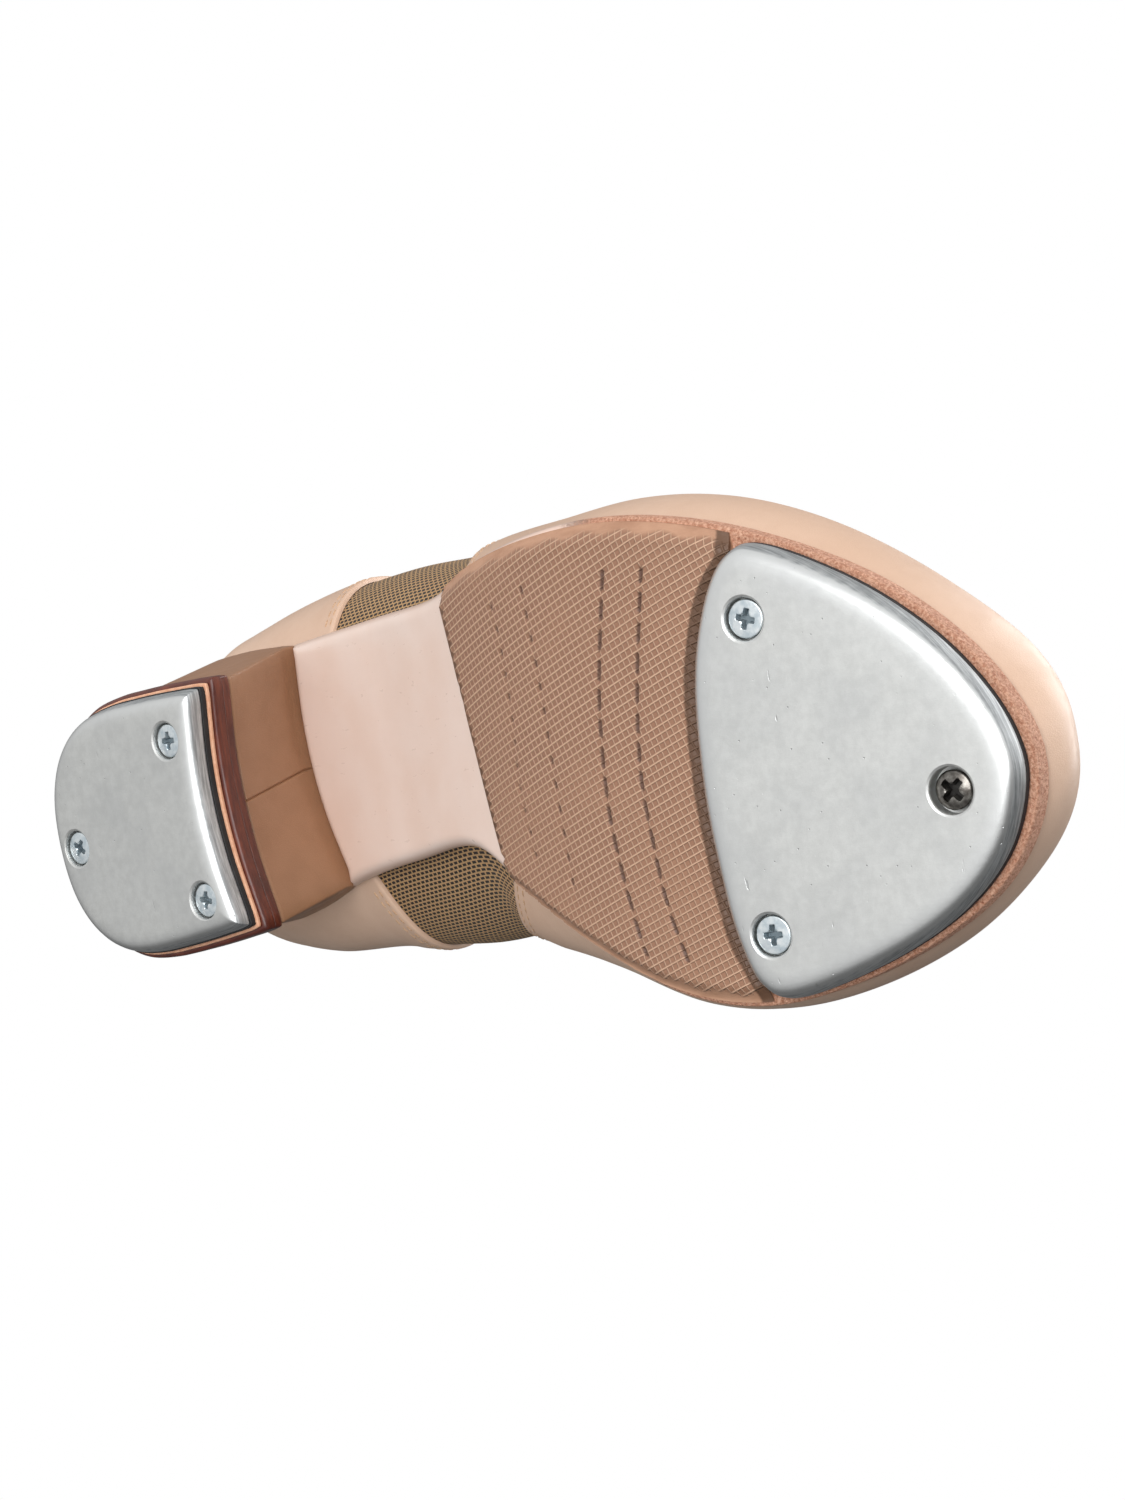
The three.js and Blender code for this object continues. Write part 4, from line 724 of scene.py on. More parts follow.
def outsole_mesh():
    """Cross-sections square to the shoe's length, each a flat strip with rolled edges: the
    underside lifts by r - sqrt(r^2 - (r - d)^2) within r of the nearest edge."""
    way = np.concatenate([np.linspace(0, 0.04, 10)[:-1], np.linspace(0.04, 0.9, 150)[:-1],
                          np.linspace(0.9, 0.9995, 40)])[:, None]
    across = 0.5 - 0.5 * np.cos(np.pi * np.linspace(0, 1, 61))[None, :]
    rear = breast_s(sole_spot(np.array(50.0), across[0]))[None, :] + 0.35
    s = rear + way * (SOLE_LENGTH - rear)
    x = sole_spot(s, across)
    width = sole_spot(s, np.ones_like(across)) - sole_spot(s, np.zeros_like(across))
    waist = 1 - ease(s, 130, 175)
    radius = 0.7 + 2.0 * waist
    gap = np.minimum(across, 1 - across) * width
    edge = np.minimum(gap, (s - rear) + 0.15)
    near = np.clip(1 - edge / radius, 0, 1)
    lift = radius * (1 - np.sqrt(np.maximum(1 - near ** 2, 0)))
    level = sole_level(s)
    under = np.stack([x, -s, level + np.minimum(lift, OUTSOLE - 0.3)], -1)
    over = np.stack([x, -s, level + OUTSOLE], -1)[:, ::-1]
    rings = np.concatenate([under, over], 1)
    raw = np.concatenate([ease(s, 140, 182), ease(s, 140, 182)[:, ::-1]], 1)
    rim = np.concatenate([1 - ease(gap, 0.0, 3.0), np.ones_like(gap)], 1)
    return rings, raw, rim


def sole_leather(wire):
    """Sole leather: shell-pink paint under wax where 'raw' is 0, bare orange fibre where it is 1,
    with pores, drag marks along the waist and a sanded, granular rim."""
    spot = wire.places()
    raw = wire.field("raw")
    rim = wire.field("rim")
    cloud = wire.noise(spot, 14, 3)
    drag = wire.noise(wire.places((1, 0.12, 1)), 1.2, 5, 0.65)
    fibre = wire.noise(spot, 0.55, 5, 0.8)
    grain = wire.add("TexVoronoi", {}, {"Vector": spot, "Scale": 1 / 0.55})
    bare = (raw + fibre * 0.5 - 0.25).step(0.35, 0.65)
    paint = wire.blend(cloud.step(0.3, 0.75), "EBD5C9", "E7CEC0")
    paint = wire.blend(drag.step(0.6, 0.85) * 0.2, paint, "D9BBAB")
    paint = wire.blend(rim.step(0.6, 1) * 0.6, paint, "D8B49E")
    leather = wire.blend(fibre.step(0.4, 0.62), "AE6F52", "EFC0A3")
    leather = wire.blend(grain.step(0.1, 0.6) * 0.35, leather, "DDA488")
    rough = fibre * 0.3 + 0.55
    height = (drag * 0.03 + fibre * 0.01) * (1 - bare) + (fibre * 0.5 + grain * 0.2) * bare
    return {"Base Color": wire.blend(bare, paint, leather),
            "Roughness": rough * bare + (drag * 0.1 + 0.24) * (1 - bare),
            "Coat Weight": (1 - bare) * 0.35, "Normal": wire.relief(height)}


rings, raw, rim = outsole_mesh()
SOLE_FINISH = finish_of("sole leather", {"Coat Roughness": 0.22}, sole_leather)
fit_out(stack("outsole_leather", rings, 42, fields={"raw": raw, "rim": rim}), "shoe",
        "sole_leather", SOLE_FINISH, "outsole")

# ---- half sole -----------------------------------------------------------------------------------
# A thin moulded rubber sole is glued over the tread so that the dancer doesn't slip. It has a fine
# square lattice, a plain border skived down to the leather's edge, a pinked (zigzag) rear edge and
# four lines of slits across the ball, where it flexes. Its front is cut to the tap's curve.
RUBBER, RUBBER_INSET, SKIVE, PINK_PITCH, PINK_DEPTH = 2.0, 0.9, 3.4, 2.1, 1.5
FLEX_LINES = [  # x and s along each line, length of slit, gap, how open it stands
    ([[-31.5, 135.2], [-23.1, 136.3], [-9.3, 136.2], [4.9, 134.8], [20.6, 136.3]],
     1.6, 2.6, 0.85),
    ([[-33.8, 145.6], [-16, 146.2], [-0.1, 145.9], [14, 145.6], [27.1, 145.8]], 1.9, 2.6, 0.9),
    ([[-32.1, 167.8], [-10.6, 161.7], [4.2, 159.3], [15.8, 158.8], [29.8, 160.2], [38, 161.8]],
     3.9, 1.3, 1.2),
    ([[-29.9, 176.5], [-9.9, 170.9], [5.2, 168.1], [17.2, 168], [29.4, 168.9], [39.8, 171.4]],
     3.9, 1.3, 1.15),
]
PINK_FROM, PINK_TO = edge_at(row_at(117.0), -1), edge_at(row_at(125.5), 1)
TAP_FRONT = along(REAR_KNOTS, np.linspace(0, len(REAR_KNOTS) - 1, 80))


def half_sole_mesh():
    """Grid between a zigzag rear line and a curve just behind the tap. The underside
    hangs below the leather by the rubber's thickness times the skive, and each slit sinks it by
    depth * exp(-(way / half width)^2) while the dash function is on."""
    across = 0.5 - 0.5 * np.cos(np.pi * (0.08 + 0.84 * np.linspace(0, 1, 200)))
    across = ((across - across[0]) / (across[-1] - across[0]))[None, :]
    way = np.concatenate([[0, 0.004], np.linspace(0.012, 0.988, 170), [0.996, 1]])[:, None]
    lean = (PINK_TO[1] - PINK_FROM[1]) / (PINK_TO[0] - PINK_FROM[0])
    s = np.full(np.broadcast_shapes(way.shape, across.shape), 150.0)
    for _ in range(5):
        width = sole_spot(s, np.ones_like(s)) - sole_spot(s, np.zeros_like(s))
        x = sole_spot(s, across + (0.5 - across) * 2 * RUBBER_INSET / width)
        tooth = np.abs(np.mod((x - PINK_FROM[0]) / (PINK_PITCH * 0.985), 1.0) * 2 - 1)
        rear = -(PINK_FROM[1] + lean * (x - PINK_FROM[0])) - PINK_DEPTH * tooth + 0.7
        front = -np.interp(x, TAP_FRONT[:, 0], TAP_FRONT[:, 1]) - 1.1
        front -= np.maximum(TAP_FRONT[0, 0] - x, 0) * 0.07
        s = rear + way * (front - rear)
    gap = np.minimum(across, 1 - across) * width
    skive = 0.22 + 0.78 * ease(gap, 0.0, SKIVE)
    ends = 1 - 0.12 * (1 - ease(s - rear, 0, 0.5)) - 0.35 * (1 - ease(front - s, 0, 1.6))
    slit = np.zeros_like(s)
    for places, long, space, opened in FLEX_LINES:
        line = np.array(places)
        run = np.mod(x, long + space)
        dash = ease(run, 0, 0.4) * (1 - ease(run, long - 0.4, long))
        off = s - np.interp(x, *along(line, np.linspace(0, len(line) - 1, 60)).T)
        first, last = line[[0, -1], 0]
        inside = ease(x, first - 0.5, first) * (1 - ease(x, last, last + 0.5))
        slit = np.maximum(slit, opened * inside * (0.25 + 0.75 * dash) * np.exp(-(off / 0.45) ** 2))
    level = sole_level(s) + 0.02
    under = np.stack([x, -s, level - (RUBBER + FIT) * skive * ends + slit * 0.55 * skive], -1)
    over = np.stack([x, -s, level], -1)[:, ::-1]

    def both(values, back=0.0):
        return np.concatenate([values, np.full_like(values, back)], 1)
    border = 1 - ease(gap + 0.4 * np.sin(s * 0.7), 1.3, 2.3) * ease(s - rear, 0.1, 0.3)
    # Share beside the tap's curve that the finish paints dark brown: partly old adhesive, partly
    # painted shade on the rubber's bevelled front edge.
    glue = 1 - ease(front - s, 1.2, 3.4)
    return np.concatenate([under, over], 1), dict(slit=both(slit), border=both(border, 1.0),
                                                  glue=both(glue))


LATTICE_PITCH, LATTICE_TURN = 1.36, np.radians(17.7)


def lattice_rubber(wire):
    """Moulded lattice: ridges where either of two crossed waves |sin| is near 0, paler than the
    pits between as painted shade in the pits; plain at the border; slits painted dark as shade in
    them;
    and the front edge painted dark brown, partly old adhesive and partly painted shade on its bevel
    by the tap."""
    spot = wire.places(turn=LATTICE_TURN)

    def wave(number):
        run = wire.axis(spot, number) * (np.pi / LATTICE_PITCH)
        return wire.maths("ABSOLUTE", wire.maths("SINE", run))
    along_ridge, cross_ridge = 1 - wave(0).step(0.12, 0.62), 1 - wave(1).step(0.06, 0.5)
    ridge = wire.maths("MAXIMUM", along_ridge, cross_ridge * 0.8)
    border = wire.field("border")
    slit = wire.field("slit")
    glue = wire.field("glue")
    cloud = wire.noise(wire.places(), 20, 3)
    smear = wire.noise(wire.places((1, 0.3, 1)), 2.5, 5, 0.65)
    grit = wire.noise(wire.places(), 0.3, 4, 0.7)
    # Painted shade: the pits between ridges take the darker brown, the ridges the paler.
    field = wire.blend(ridge, "916A53", "CDA78C")
    field = wire.blend(cloud.step(0.4, 0.7) * 0.25, field, "AF8468")
    plain = wire.blend(smear.step(0.35, 0.7), "B78D72", "A67C62")
    colour = wire.blend(border, field, plain)
    # Painted shade: the flex slits are painted dark brown.
    colour = wire.blend(slit.step(0.2, 0.8) * 0.85, colour, "4F3327")
    # The front-edge band is partly old adhesive and partly painted shade by the toe tap.
    stain = (glue + smear * 0.5 - 0.25).step(0.35, 0.8)
    colour = wire.blend(stain * 0.9, colour, "553A27")
    height = (ridge * 0.26) * (1 - border) + smear * 0.03 + grit * 0.02
    return {"Base Color": colour, "Roughness": smear * 0.2 + 0.42 + ridge * 0.08,
            "Normal": wire.relief(height)}


rings, fields = half_sole_mesh()
fit_out(stack("rubber_half_sole_moulded", rings, 50, fields=fields), "shoe", "half_sole_rubber",
        finish_of("lattice rubber", {}, lattice_rubber), "rubber_half_sole")

# ---- insole and shank ----------------------------------------------------------------------------
# Between outsole and foot lie a spring-steel shank and a cork filler, side by side, then a pressed
# fibre insole board. Four nails and a wood screw, driven from inside, hold the heel on. The board
# is covered by a thin foam sock faced with suede, the only one of these that shows.


def rolled_steel(wire):
    streak = wire.noise(wire.places((1, 0.05, 1)), 0.8, 5, 0.6)
    cloud = wire.noise(wire.places(), 9, 3)
    steel = wire.blend(streak.step(0.3, 0.7), "7F8588", "A4AAAC")
    return {"Base Color": wire.blend(cloud.step(0.5, 0.8) * 0.5, steel, "5A5148"),
            "Roughness": streak * 0.2 + 0.28, "Normal": wire.relief(streak * 0.02)}


def granulated(pale, dark, size, depth):
    """Pressed granules or fibres: cells of two tones with dark joints."""
    def paint(wire):
        spot = wire.places()
        cells = {"Vector": spot, "Scale": 1 / size}
        cell = wire.add("TexVoronoi", {}, cells, out="Color")
        joint = wire.add("TexVoronoi", {"feature": "DISTANCE_TO_EDGE"}, cells)
        tone = wire.add("SeparateColor", {}, {0: cell})
        fine = wire.noise(spot, size / 4, 4, 0.7)
        colour = wire.blend(tone * 0.7 + fine * 0.3, dark, pale)
        colour = wire.blend((1 - joint.step(0.0, 0.12)) * 0.5, colour, dark)
        return {"Base Color": colour, "Roughness": fine * 0.2 + 0.7,
                "Normal": wire.relief(joint.step(0, 0.3) * depth + fine * depth * 0.5)}
    return paint


def turned_beech(wire):
    ring = wire.add("TexWave", {"wave_type": "RINGS"}, {"Vector": wire.places((1, 1, 0.1)),
                    "Scale": 0.12, "Distortion": 3.0, "Detail": 3.0}, out="Fac")
    fleck = wire.noise(wire.places((1, 1, 0.1)), 0.9, 4, 0.6)
    wood = wire.blend(ring * 0.5, "D8B588", "BE9467")
    return {"Base Color": wire.blend(fleck.step(0.55, 0.75) * 0.5, wood, "A2774E"),
            "Roughness": fleck * 0.2 + 0.5, "Normal": wire.relief(fleck * 0.04)}


STEEL = finish_of("rolled steel", {"Metallic": 1.0}, rolled_steel)
BOARD = finish_of("fibre board", {}, granulated("D9C4A6", "A98F6E", 0.7, 0.05))
CARRIED = {"steel_shank": STEEL, "heel_seat_screw": STEEL, "insole_board": BOARD, "toe_puff": BOARD,
           "heel_counter_lateral": BOARD, "heel_counter_medial": BOARD,
           "cork_filler": finish_of("cork", {}, granulated("C59A6B", "7D5535", 1.6, 0.15)),
           "heel_block": finish_of("turned beech", {}, turned_beech),
           **{f"heel_nail_{i}": STEEL for i in range(1, 5)}}
for node, finish in CARRIED.items():
    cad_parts[node].data.materials.clear()
    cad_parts[node].data.materials.append(finish)

SOCK_LOW, SOCK_TOP, SOCK_CROWN = 7.4, 9.3, 0.9


def sock_mesh():
    """Cross-sections inside the lining: the top rises by crown * (1 - v^2) over the middle and
    rolls down at the edges by (1 - sqrt(1 - v^10)), v running -1 to 1 across."""
    way = np.concatenate([np.linspace(0, 0.05, 12)[:-1], np.linspace(0.05, 0.93, 90)[:-1],
                          np.linspace(0.93, 1, 16)])[:, None]
    v = np.sin(np.pi / 2 * np.linspace(-1, 1, 49))[None, :]
    rear, front = 7.0, SOLE_LENGTH - 13.0
    s = rear + way * (front - rear)
    inset = 6.2 + 5 * ease(s, 0.82 * SOLE_LENGTH, 0.97 * SOLE_LENGTH)
    row = row_at(s[:, 0])
    outer, inner = (inside_edge(row, side, inset)[0][:, :1] for side in (-1, 1))
    taper = np.sqrt(np.clip(1 - np.maximum((9 - (s - rear)) / 9, 0) ** 2, 0.0, 1))
    taper *= np.sqrt(np.clip(1 - np.maximum((14 - (front - s)) / 14, 0) ** 2, 0.0, 1))
    x = (outer + inner) / 2 + v * (inner - outer) / 2 * np.maximum(taper, 0.15)
    roll = 1 - np.sqrt(np.maximum(1 - np.abs(v) ** 10, 0))
    level, y = (np.broadcast_to(values, x.shape) for values in (sole_level(s), -s))
    over = np.stack([x, y, level + SOCK_TOP + SOCK_CROWN * (1 - v ** 2) - 1.2 * roll], -1)
    under = np.stack([x, y, level + SOCK_LOW], -1)[:, ::-1]
    return np.concatenate([over, under], 1)


def napped_suede(wire):
    """Suede: brushed nap that catches the light in cloudy patches, over short fibres."""
    nap = wire.noise(wire.places((1, 0.5, 1)), 5, 5, 0.6)
    fibre = wire.noise(wire.places(), 0.3, 5, 0.75)
    colour = wire.blend(nap.step(0.35, 0.7), "CFAF8E", "E2C6A6")
    return {"Base Color": wire.blend(fibre.step(0.5, 0.8) * 0.4, colour, "B28F6D"),
            "Roughness": fibre * 0.1 + 0.82, "Normal": wire.relief(fibre * 0.12 + nap * 0.1)}


sock = stack("suede_sock", sock_mesh(), 60)
fit_out(sock, "shoe", "sock_suede", finish_of("napped suede", {"Sheen Weight": 0.4}, napped_suede),
        "sock_pad")

# ---- upper ---------------------------------------------------------------------------------------
# The upper is smooth tan calf: a vamp over the toes and two quarters joined at the back under a
# strip. Between them, on each side of the arch, an elastic gore lets the foot in; the leather's
# folded edges lie over it in two rows of stitches. The lasted edge is glued under the insole.
RIDGE = np.array([  # share of the sole, x, height over the sole, walls' bulge out and in, power
    [0, 2, 0, 0, 0, 1], [-0.018, 2, 15, 4, 2, 0.9], [-0.014, 2, 38, 7.5, 5, 0.85],
    [0.012, 1.5, 56.5, 10.5, 10, 0.85], [0.123, -1, 78, 12.5, 18, 0.85],
    [0.262, -3, 84, 12.5, 22, 0.85], [0.381, -5, 82, 10.5, 22, 0.85],
    [0.488, -5, 73, 6.5, 17, 0.85], [0.566, -3, 65, 4, 11, 0.85], [0.643, 0, 55.5, 4, 8, 0.8],
    [0.721, 4, 47, 4.5, 5, 0.75], [0.807, 7.7, 38.7, 4, 3.5, 0.7], [0.889, 9.8, 31, 2.2, 2.2, 0.7],
    [0.963, 10.6, 21, 0.6, 0.2, 0.75], [0.998, 11.2, 9.5, 0, 0, 0.85], [1, 13.5, 0, 0, 0, 1],
])
UPPER_FOOT, BULGE_HEIGHT, FEATHER = OUTSOLE + 0.03, 22, 1.0


def wall_foot(row, side):
    """Where the wall stands on the sole, a feather's width inside its edge, and its way out."""
    spot, out = inside_edge(row, side, FEATHER)
    level = sole_level(-spot[..., 1]) + UPPER_FOOT
    return (np.concatenate([spot, level[..., None]], -1),
            np.concatenate([out, np.zeros_like(level)[..., None]], -1))


RIDGE_S = RIDGE[:, 0] * SOLE_LENGTH
RIDGE_LINE = np.stack([RIDGE[:, 1], -RIDGE_S, sole_level(RIDGE_S) + UPPER_FOOT + RIDGE[:, 2]], 1)
RIDGE_LINE[[0, -1]] = wall_foot(np.array([0.0, TOE_ROW]), 1)[0]


def skin(row, angle):
    """Outer face of the upper: middle of the two feet, less half their span times
    sign(cos a)|cos a|^p, plus the rise to the ridge times sin^p a, plus an outward swell
    h/k exp(1 - h/k)(1 - h^4) that is widest low on the wall."""
    outer, inner, power = np.moveaxis(along(RIDGE[:, 3:], row), -1, 0)
    (foot_out, way_out), (foot_in, way_in) = wall_foot(row, -1), wall_foot(row, 1)
    middle, half = (foot_out + foot_in) / 2, (foot_in - foot_out) / 2
    rise = along(RIDGE_LINE, row) - middle
    cos = np.cos(angle)
    height = np.maximum(np.sin(angle), 0) ** power
    k = np.minimum(BULGE_HEIGHT / np.maximum(rise[..., 2], 1), 0.45)
    swell = height / k * np.exp(1 - height / k) * (1 - height ** 4)
    swell = swell * np.where(cos > 0, outer, inner)
    return (middle - half * (np.sign(cos) * np.abs(cos) ** power)[..., None]
            + rise * height[..., None]
            + np.where((cos > 0)[..., None], way_out, way_in) * swell[..., None])


def upper_point(row, angle, depth=0.0):
    """Point under the skin: the skin less depth times its normal, dP/drow x dP/dangle, which
    lies flat at the foot so that every ply stands on the sole."""
    row, angle, depth = np.broadcast_arrays(*(np.asarray(v, float) for v in (row, angle, depth)))
    e, end = 1e-3, 0.02
    r, a = np.clip(row, end, TOE_ROW - end), np.clip(angle, 2 * e, np.pi - 2 * e)
    normal = np.cross(skin(r + e, a) - skin(r - e, a), skin(r, a + e) - skin(r, a - e))
    normal[row <= end] = [0, 1, 0]
    normal[row >= TOE_ROW - end] = [0, -1, 0]
    normal[np.sin(angle) < e, 2] = 0
    normal = unit(normal)
    return skin(row, angle) - normal * depth[..., None]


def crowd(count):
    """Even steps from 0 to 1 with one more line close inside each end, to round the edge."""
    return np.sort(np.concatenate([np.linspace(0, 1, count), [0.15 / count, 1 - 0.15 / count]]))


def shell(name, row, angle, outer, inner, soften=0.3, keep=None):
    """Closed sheet over a grid of rows and angles, from depth outer to depth inner, its outer
    edge eased in by soften; the cloth map runs in millimetres along each way of the grid."""
    count, width = row.shape
    depth = np.full(row.shape, float(outer))
    depth[[0, -1]] += soften
    depth[1:-1, [0, -1]] += soften
    faces = [upper_point(row, angle, depth), upper_point(row, angle, inner)]
    if keep is not None:
        faces = [keep(face) for face in faces]
    size = count * width
    grid = quads(count, width)
    number = np.arange(size).reshape(count, width)
    loop = np.concatenate([number[0], number[1:, -1], number[-1, -2::-1], number[-2:0:-1, 0]])
    after = np.roll(loop, -1)
    rim = np.stack([loop + size, after + size, after, loop], 1)
    top = faces[0]
    u = np.concatenate([np.zeros((1, width)), np.cumsum(
        np.linalg.norm(np.diff(top, axis=0), axis=-1), 0)]).mean(1, keepdims=True) + 0 * row
    v = np.concatenate([np.zeros((count, 1)), np.cumsum(
        np.linalg.norm(np.diff(top, axis=1), axis=-1), 1)], 1)
    cloth = np.tile(np.stack([u, v], -1).reshape(-1, 2), (2, 1))
    return make(name, np.concatenate([face.reshape(-1, 3) for face in faces]),
                np.concatenate([grid, grid[:, ::-1] + size, rim]), sharp=60, uv=cloth)


BACK_ROW, THROAT_ROW, OPENING_DROP, WALL_CROWDING = 3, 7, np.radians(52), 1.25
REAR_SEAM, REAR_LEAN, FRONT_SEAM, FRONT_LEAN = 4.22, 0.45, 6.55, -0.1
OPENING_MIDDLE, OPENING_HALF = (BACK_ROW + THROAT_ROW) / 2, (THROAT_ROW - BACK_ROW) / 2


def topline_angle(row):
    """Angle at which the opening cuts a row: an ellipse dropped from the ridge."""
    reach = np.clip((np.asarray(row) - OPENING_MIDDLE) / OPENING_HALF, -1, 1)
    return np.pi / 2 - OPENING_DROP * np.sqrt(1 - reach ** 2)


def wall_angle(row, share, side):
    """Angle at a share of the way up the wall, from the sole to the topline."""
    angle = topline_angle(row) * share ** WALL_CROWDING
    return angle if side < 0 else np.pi - angle


def vamp_grid(columns=120, wall=54, crown=26):
    """Columns from the vamp's rear edge, up one gore seam, round the throat and down the other,
    to the toe tip."""
    seam_top = topline_angle(FRONT_SEAM + FRONT_LEAN)
    half = np.concatenate([seam_top * crowd(wall)[:-1] ** WALL_CROWDING,
                           np.linspace(seam_top, np.pi / 2, crown)])
    angle = np.concatenate([half, np.pi - half[-2::-1]])
    folded = np.minimum(angle, np.pi - angle)
    share = (np.minimum(folded / seam_top, 1)) ** (1 / WALL_CROWDING)
    reach = np.clip((np.pi / 2 - folded) / OPENING_DROP, 0, 1)
    rear = np.where(folded <= seam_top, FRONT_SEAM + FRONT_LEAN * share,
                    OPENING_MIDDLE + OPENING_HALF * np.sqrt(1 - reach ** 2))
    t = crowd(columns)[:, None]
    return rear + (TOE_ROW - 0.004 - rear) * t, angle + 0 * t


def quarter_grid(side, columns=84, wall=54, to=REAR_SEAM):
    """Columns from the back seam to the rear gore seam, packed where the topline turns down."""
    t = crowd(columns)
    column = 0.004 + (to - 0.004) * t
    pull = 0.22 * np.sin(np.pi * np.clip((column - 2.2) / 1.6, 0, 1))
    column = column - pull * (column - 3.0) * 0.6
    share = crowd(wall)[None, :]
    lean = np.maximum(column - BACK_ROW, 0) / (REAR_SEAM - BACK_ROW)
    row = column[:, None] + (lean * REAR_LEAN)[:, None] * share
    return row, wall_angle(row, share, side)


def gore_grid(side, columns=70, wall=54, tuck=0.55):
    share = crowd(wall)[None, :]
    rear, front = REAR_SEAM + REAR_LEAN * share - tuck * 0.6, FRONT_SEAM + FRONT_LEAN * share + tuck
    row = rear + crowd(columns)[:, None] * (front - rear)
    return row, wall_angle(row, share, side)


CALF = finish_of("tan calf", {"Coat Weight": 0.1, "Coat Roughness": 0.3},
                 smooth_leather("DFC0A9", "D6B49B", "BB957A", 0.45))


RIB_PITCH, PICK_PITCH, YARN_PITCH, DRILL_PITCH = 0.95, 1.8, 0.42, 0.5


def woven_elastic(wire):
    """Elastic webbing on its own cloth map: gold-tan yarn over dark eyes, partly dark rubber
    showing through and partly painted shade in the sunk eyes, in ribs whose eyes shift by half a
    pick on every other one."""
    cloth = wire.places(source="UV")
    across, up = wire.axis(cloth, 0), wire.axis(cloth, 1)
    rib = up * (1 / RIB_PITCH)
    rib_at = wire.maths("FRACT", rib) - 0.5
    run = wire.maths("FRACT", across * (1 / PICK_PITCH) + wire.maths("FLOOR", rib) * 0.5) - 0.5
    fray = wire.noise(cloth, 0.35, 3, 0.6) * 0.12
    from_rib, from_mid = wire.maths("ABSOLUTE", rib_at), wire.maths("ABSOLUTE", run)
    eye = (1 - (from_rib + fray).step(0.3, 0.45)) * (1 - (from_mid + fray).step(0.37, 0.48))
    dash = 1 - eye
    thread = wire.maths("SINE", across * (2 * np.pi / YARN_PITCH)) * 0.5 + 0.5
    gold = wire.blend(thread * 0.45, "CDA574", "9C7048")
    # The eyes' dark colour is partly the rubber and partly painted shade of the sunk eyes.
    eye_rubber_and_shade = wire.blend(thread * 0.5, "241B12", "0C0805")
    height = dash * (0.22 - from_rib * from_rib * 0.5) + thread * 0.03
    return {"Base Color": wire.blend(dash, eye_rubber_and_shade, gold), "Roughness": 0.75 + dash * 0.1,
            "Normal": wire.relief(height * 1.3)}


ELASTIC = finish_of("woven elastic", {"Sheen Weight": 0.05}, woven_elastic)


def cotton(wire):
    """Plain-woven cotton drill: two crossed thread waves on the cloth map, with slubs."""
    cloth = wire.places(source="UV")
    warp, weft = (wire.maths("SINE", wire.axis(cloth, number) * (2 * np.pi / DRILL_PITCH))
                  for number in (0, 1))
    slub = wire.noise(cloth, 3, 4, 0.6)
    weave = warp * weft * 0.5 + 0.5
    colour = wire.blend(slub.step(0.35, 0.7), "E6D8C0", "D8C4A6")
    return {"Base Color": wire.blend((1 - weave) * 0.3, colour, "B59E7E"),
            "Roughness": slub * 0.1 + 0.8, "Normal": wire.relief(weave * 0.08)}


COTTON = finish_of("cotton drill", {}, cotton)
LINING_DEPTH = (2.9, 3.5)
SEAM_X, SEAM_GAP = 2.0, 0.08

row, angle = vamp_grid()
fit_out(shell("vamp_leather", row, angle, 0.0, 1.0), "shoe", "upper_leather", CALF, "vamp")
row, angle = vamp_grid(70, 30, 16)
fit_out(shell("vamp_lining_cloth", row, angle, *LINING_DEPTH, 0.1), "shoe", "lining_canvas", COTTON,
        "vamp_lining")
for label, side in (("lateral", -1), ("medial", 1)):
    def beside(points, side=side):
        """Keeps one side's pieces on its own side of the back seam's middle line."""
        back = (points[..., 1] > -11) & ((points[..., 0] - SEAM_X) * side < SEAM_GAP)
        points[..., 0] = np.where(back, SEAM_X + SEAM_GAP * side, points[..., 0])
        return points
    fit_out(shell("quarter_leather_" + label, *quarter_grid(side), 0.0, 1.0, keep=beside), "shoe",
            "upper_leather", CALF, "quarter_" + label)
    fit_out(shell("quarter_lining_cloth_" + label, *quarter_grid(side, 50, 30), *LINING_DEPTH, 0.1,
                  keep=beside), "shoe", "lining_canvas", COTTON, "quarter_lining_" + label)
    fit_out(shell("gore_elastic_" + label, *gore_grid(side), 1.15, 2.1, 0.1), "shoe",
            "gore_elastic", ELASTIC, "elastic_gore_" + label)


def binding_rings():
    """Folded leather binding: at each place round the opening, a superellipse across the plies,
    standing on their edges; the opening is row = 5 - 2 cos t, angle = 90 - 52 sin t degrees."""
    t = circle(260)
    row = OPENING_MIDDLE - OPENING_HALF * np.cos(t)
    angle = np.pi / 2 - OPENING_DROP * np.sin(t)
    out, inward = upper_point(row, angle), upper_point(row, angle, 1.0) - upper_point(row, angle)
    ahead = np.roll(out, -1, 0) - np.roll(out, 1, 0)
    up = np.cross(unit(ahead), inward)
    up *= np.where(np.sum(up * (out.mean(0) - out), 1) < 0, -1, 1)[:, None]
    turn = circle(20)
    wide = 1.8 + 2.25 * np.sign(np.cos(turn)) * np.abs(np.cos(turn)) ** 0.7
    high = 1.0 + 1.9 * np.sign(np.sin(turn)) * np.abs(np.sin(turn)) ** 0.8
    return out[:, None] + inward[:, None] * wide[:, None] + up[:, None] * high[:, None]


rings = binding_rings()
binding = make("topline_binding_leather", rings,
               quads(len(rings) + 1, rings.shape[1], wrap=True) % (len(rings) * rings.shape[1]))
fit_out(binding, "shoe", "upper_leather", CALF, "topline_binding")

BACK_STRIP = 11.0


def back_breadth(row):
    """Millimetres across the skin for each radian of angle, beside the back seam."""
    left, right = (skin(row, np.full_like(row, np.pi / 2 + turn)) for turn in (-0.05, 0.05))
    return np.linalg.norm(left - right, axis=-1) / 0.1


